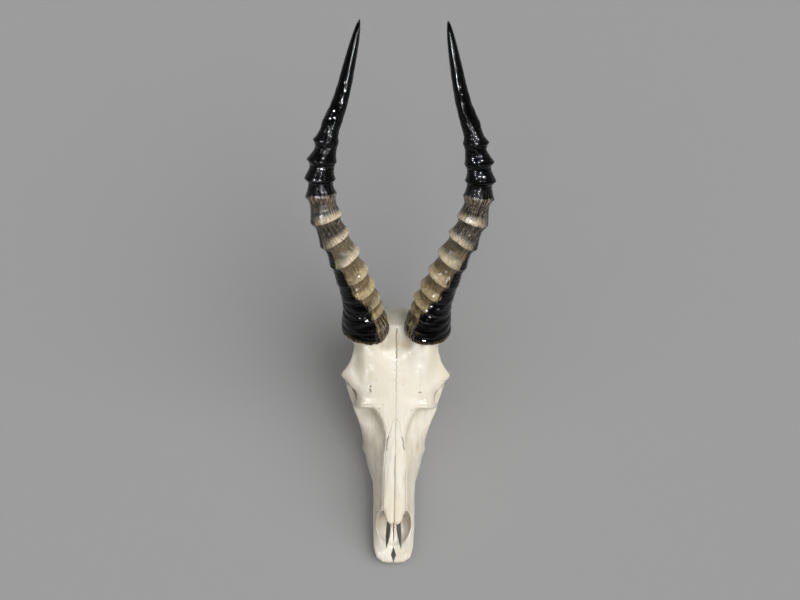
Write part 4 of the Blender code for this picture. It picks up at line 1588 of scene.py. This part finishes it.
def cameraAxes():
    across = Vector((1, 0, 0))
    side = across * math.cos(studio["turnLeft"]) + offFace * math.sin(studio["turnLeft"])
    away = offFace * math.cos(studio["turnLeft"]) - across * math.sin(studio["turnLeft"])
    right = side * math.cos(studio["lean"]) + upFace * math.sin(studio["lean"])
    upward = upFace * math.cos(studio["lean"]) - side * math.sin(studio["lean"])
    return right, upward, away


def makeCamera():
    right, upward, away = cameraAxes()
    place = Vector((studio["cameraSide"], muzzleAt * mm, 0)) + upFace * studio["cameraUpFace"]
    place += offFace * studio["cameraOff"] + away * studio["cameraBack"]
    turn = Matrix([[axis[row] for axis in (right, upward, away)] for row in range(3)]).to_4x4()
    camera = bpy.data.cameras.new("camera")
    camera.lens = studio["lens"]
    camera.clip_start = 0.05
    made = linked("camera", camera)
    made.matrix_world = Matrix.Translation(place) @ turn
    bpy.context.scene.camera = made


# Lamps that only glint, by where they stand from the skull's middle: to the photo's right, up, towards the camera
glints = {
    "left glint": {"place": (-0.95, 0.3, 1.4), "size": (0.06, 0.04), "watts": 26.0},
    "middle glint": {"place": (0.06, 0.4, 1.7), "size": (0.20, 0.035), "watts": 34.0},
    "right glint": {"place": (0.85, 0.4, 1.4), "size": (0.05, 0.04), "watts": 24.0},
    "low left glint": {"place": (-0.37, -0.67, 1.28), "size": (0.02, 0.09), "watts": 10.0},
    "low right glint": {"place": (0.37, -0.67, 1.28), "size": (0.02, 0.09), "watts": 10.0},
}
suns = {
    "key": {"place": (0.85, 0.12, 0.95), "strength": 2.40, "softness": math.radians(66)},
    "fill": {"place": (-0.35, 0.0, 1.1), "strength": 1.31, "softness": math.radians(100)},
}
sky = {"level": 0.17, "capInner": 0.78, "capOuter": 0.30}


def addLamp(name, kind, place, middle):
    light = bpy.data.lights.new(name, kind)
    made = linked(name, light)
    turn = (place - middle).to_track_quat("Z", "Y").to_matrix().to_4x4()
    made.matrix_world = Matrix.Translation(place) @ turn
    return made, light


def makeLights():
    right, upward, away = cameraAxes()
    middle = Vector((0, muzzleAt * mm, 0)) + upFace * studio["cameraUpFace"]
    for name, lamp in glints.items():
        x, y, z = lamp["place"]
        made, light = addLamp(name, "AREA", middle + right * x + upward * y + away * z, middle)
        light.shape = "RECTANGLE"
        light.size, light.size_y = lamp["size"]
        light.energy = lamp["watts"]
        made.visible_diffuse = False
    for name, sun in suns.items():
        x, y, z = sun["place"]
        made, light = addLamp(name, "SUN", middle + right * x + upward * y + away * z, middle)
        light.energy = sun["strength"]
        light.angle = sun["softness"]
        made.visible_glossy = False

    # An even sky that is black round the camera, so that polished horn mirrors black there
    world = bpy.data.worlds.new("studio")
    bpy.context.scene.world = world
    world.use_nodes = True
    tree = world.node_tree
    ahead = addNode(tree, "ShaderNodeTexCoord").outputs["Generated"]
    towards = calcVector(tree, "DOT_PRODUCT", ahead, tuple(away))
    level = step(tree, towards, sky["capOuter"], sky["capInner"], sky["level"], 0.0)
    background = tree.nodes["Background"]
    background.inputs[0].default_value = (1.0, 1.0, 1.0, 1)
    tree.links.new(level, background.inputs[1])
    bpy.context.scene.view_settings.view_transform = "Standard"


def makeFloor():
    half = studio["floorSize"] / 2
    corners = [(-half, -half, 0), (half, -half, 0), (half, half, 0), (-half, half, 0)]
    floor = meshObject("studio_floor", corners, [(0, 1, 2, 3)])
    material, tree, shader = newMaterial("pale grey paper")
    place = addNode(tree, "ShaderNodeTexCoord").outputs["Object"]
    grain = noiseNode(tree, place, 900.0, 2.0)
    grey = studio["floorGrey"]
    colour = blend(tree, grain, (grey * 0.985,) * 3, (grey * 1.015,) * 3)
    tree.links.new(colour, shader.inputs["Base Color"])
    shader.inputs["Roughness"].default_value = 0.95
    shader.inputs["Specular IOR Level"].default_value = 0.1
    floor.data.materials.append(material)


makeSkull()
hornTree = sheathTree()
for sideName, side in sides.items():
    makeHorn(sideName, side, hornTree)
    for toothName, out, back, length, width in toothPlaces():
        makeTooth(sideName, side, toothName, out, back, length, width)
print("teeth ready")
makeFloor()
makeLights()
makeCamera()
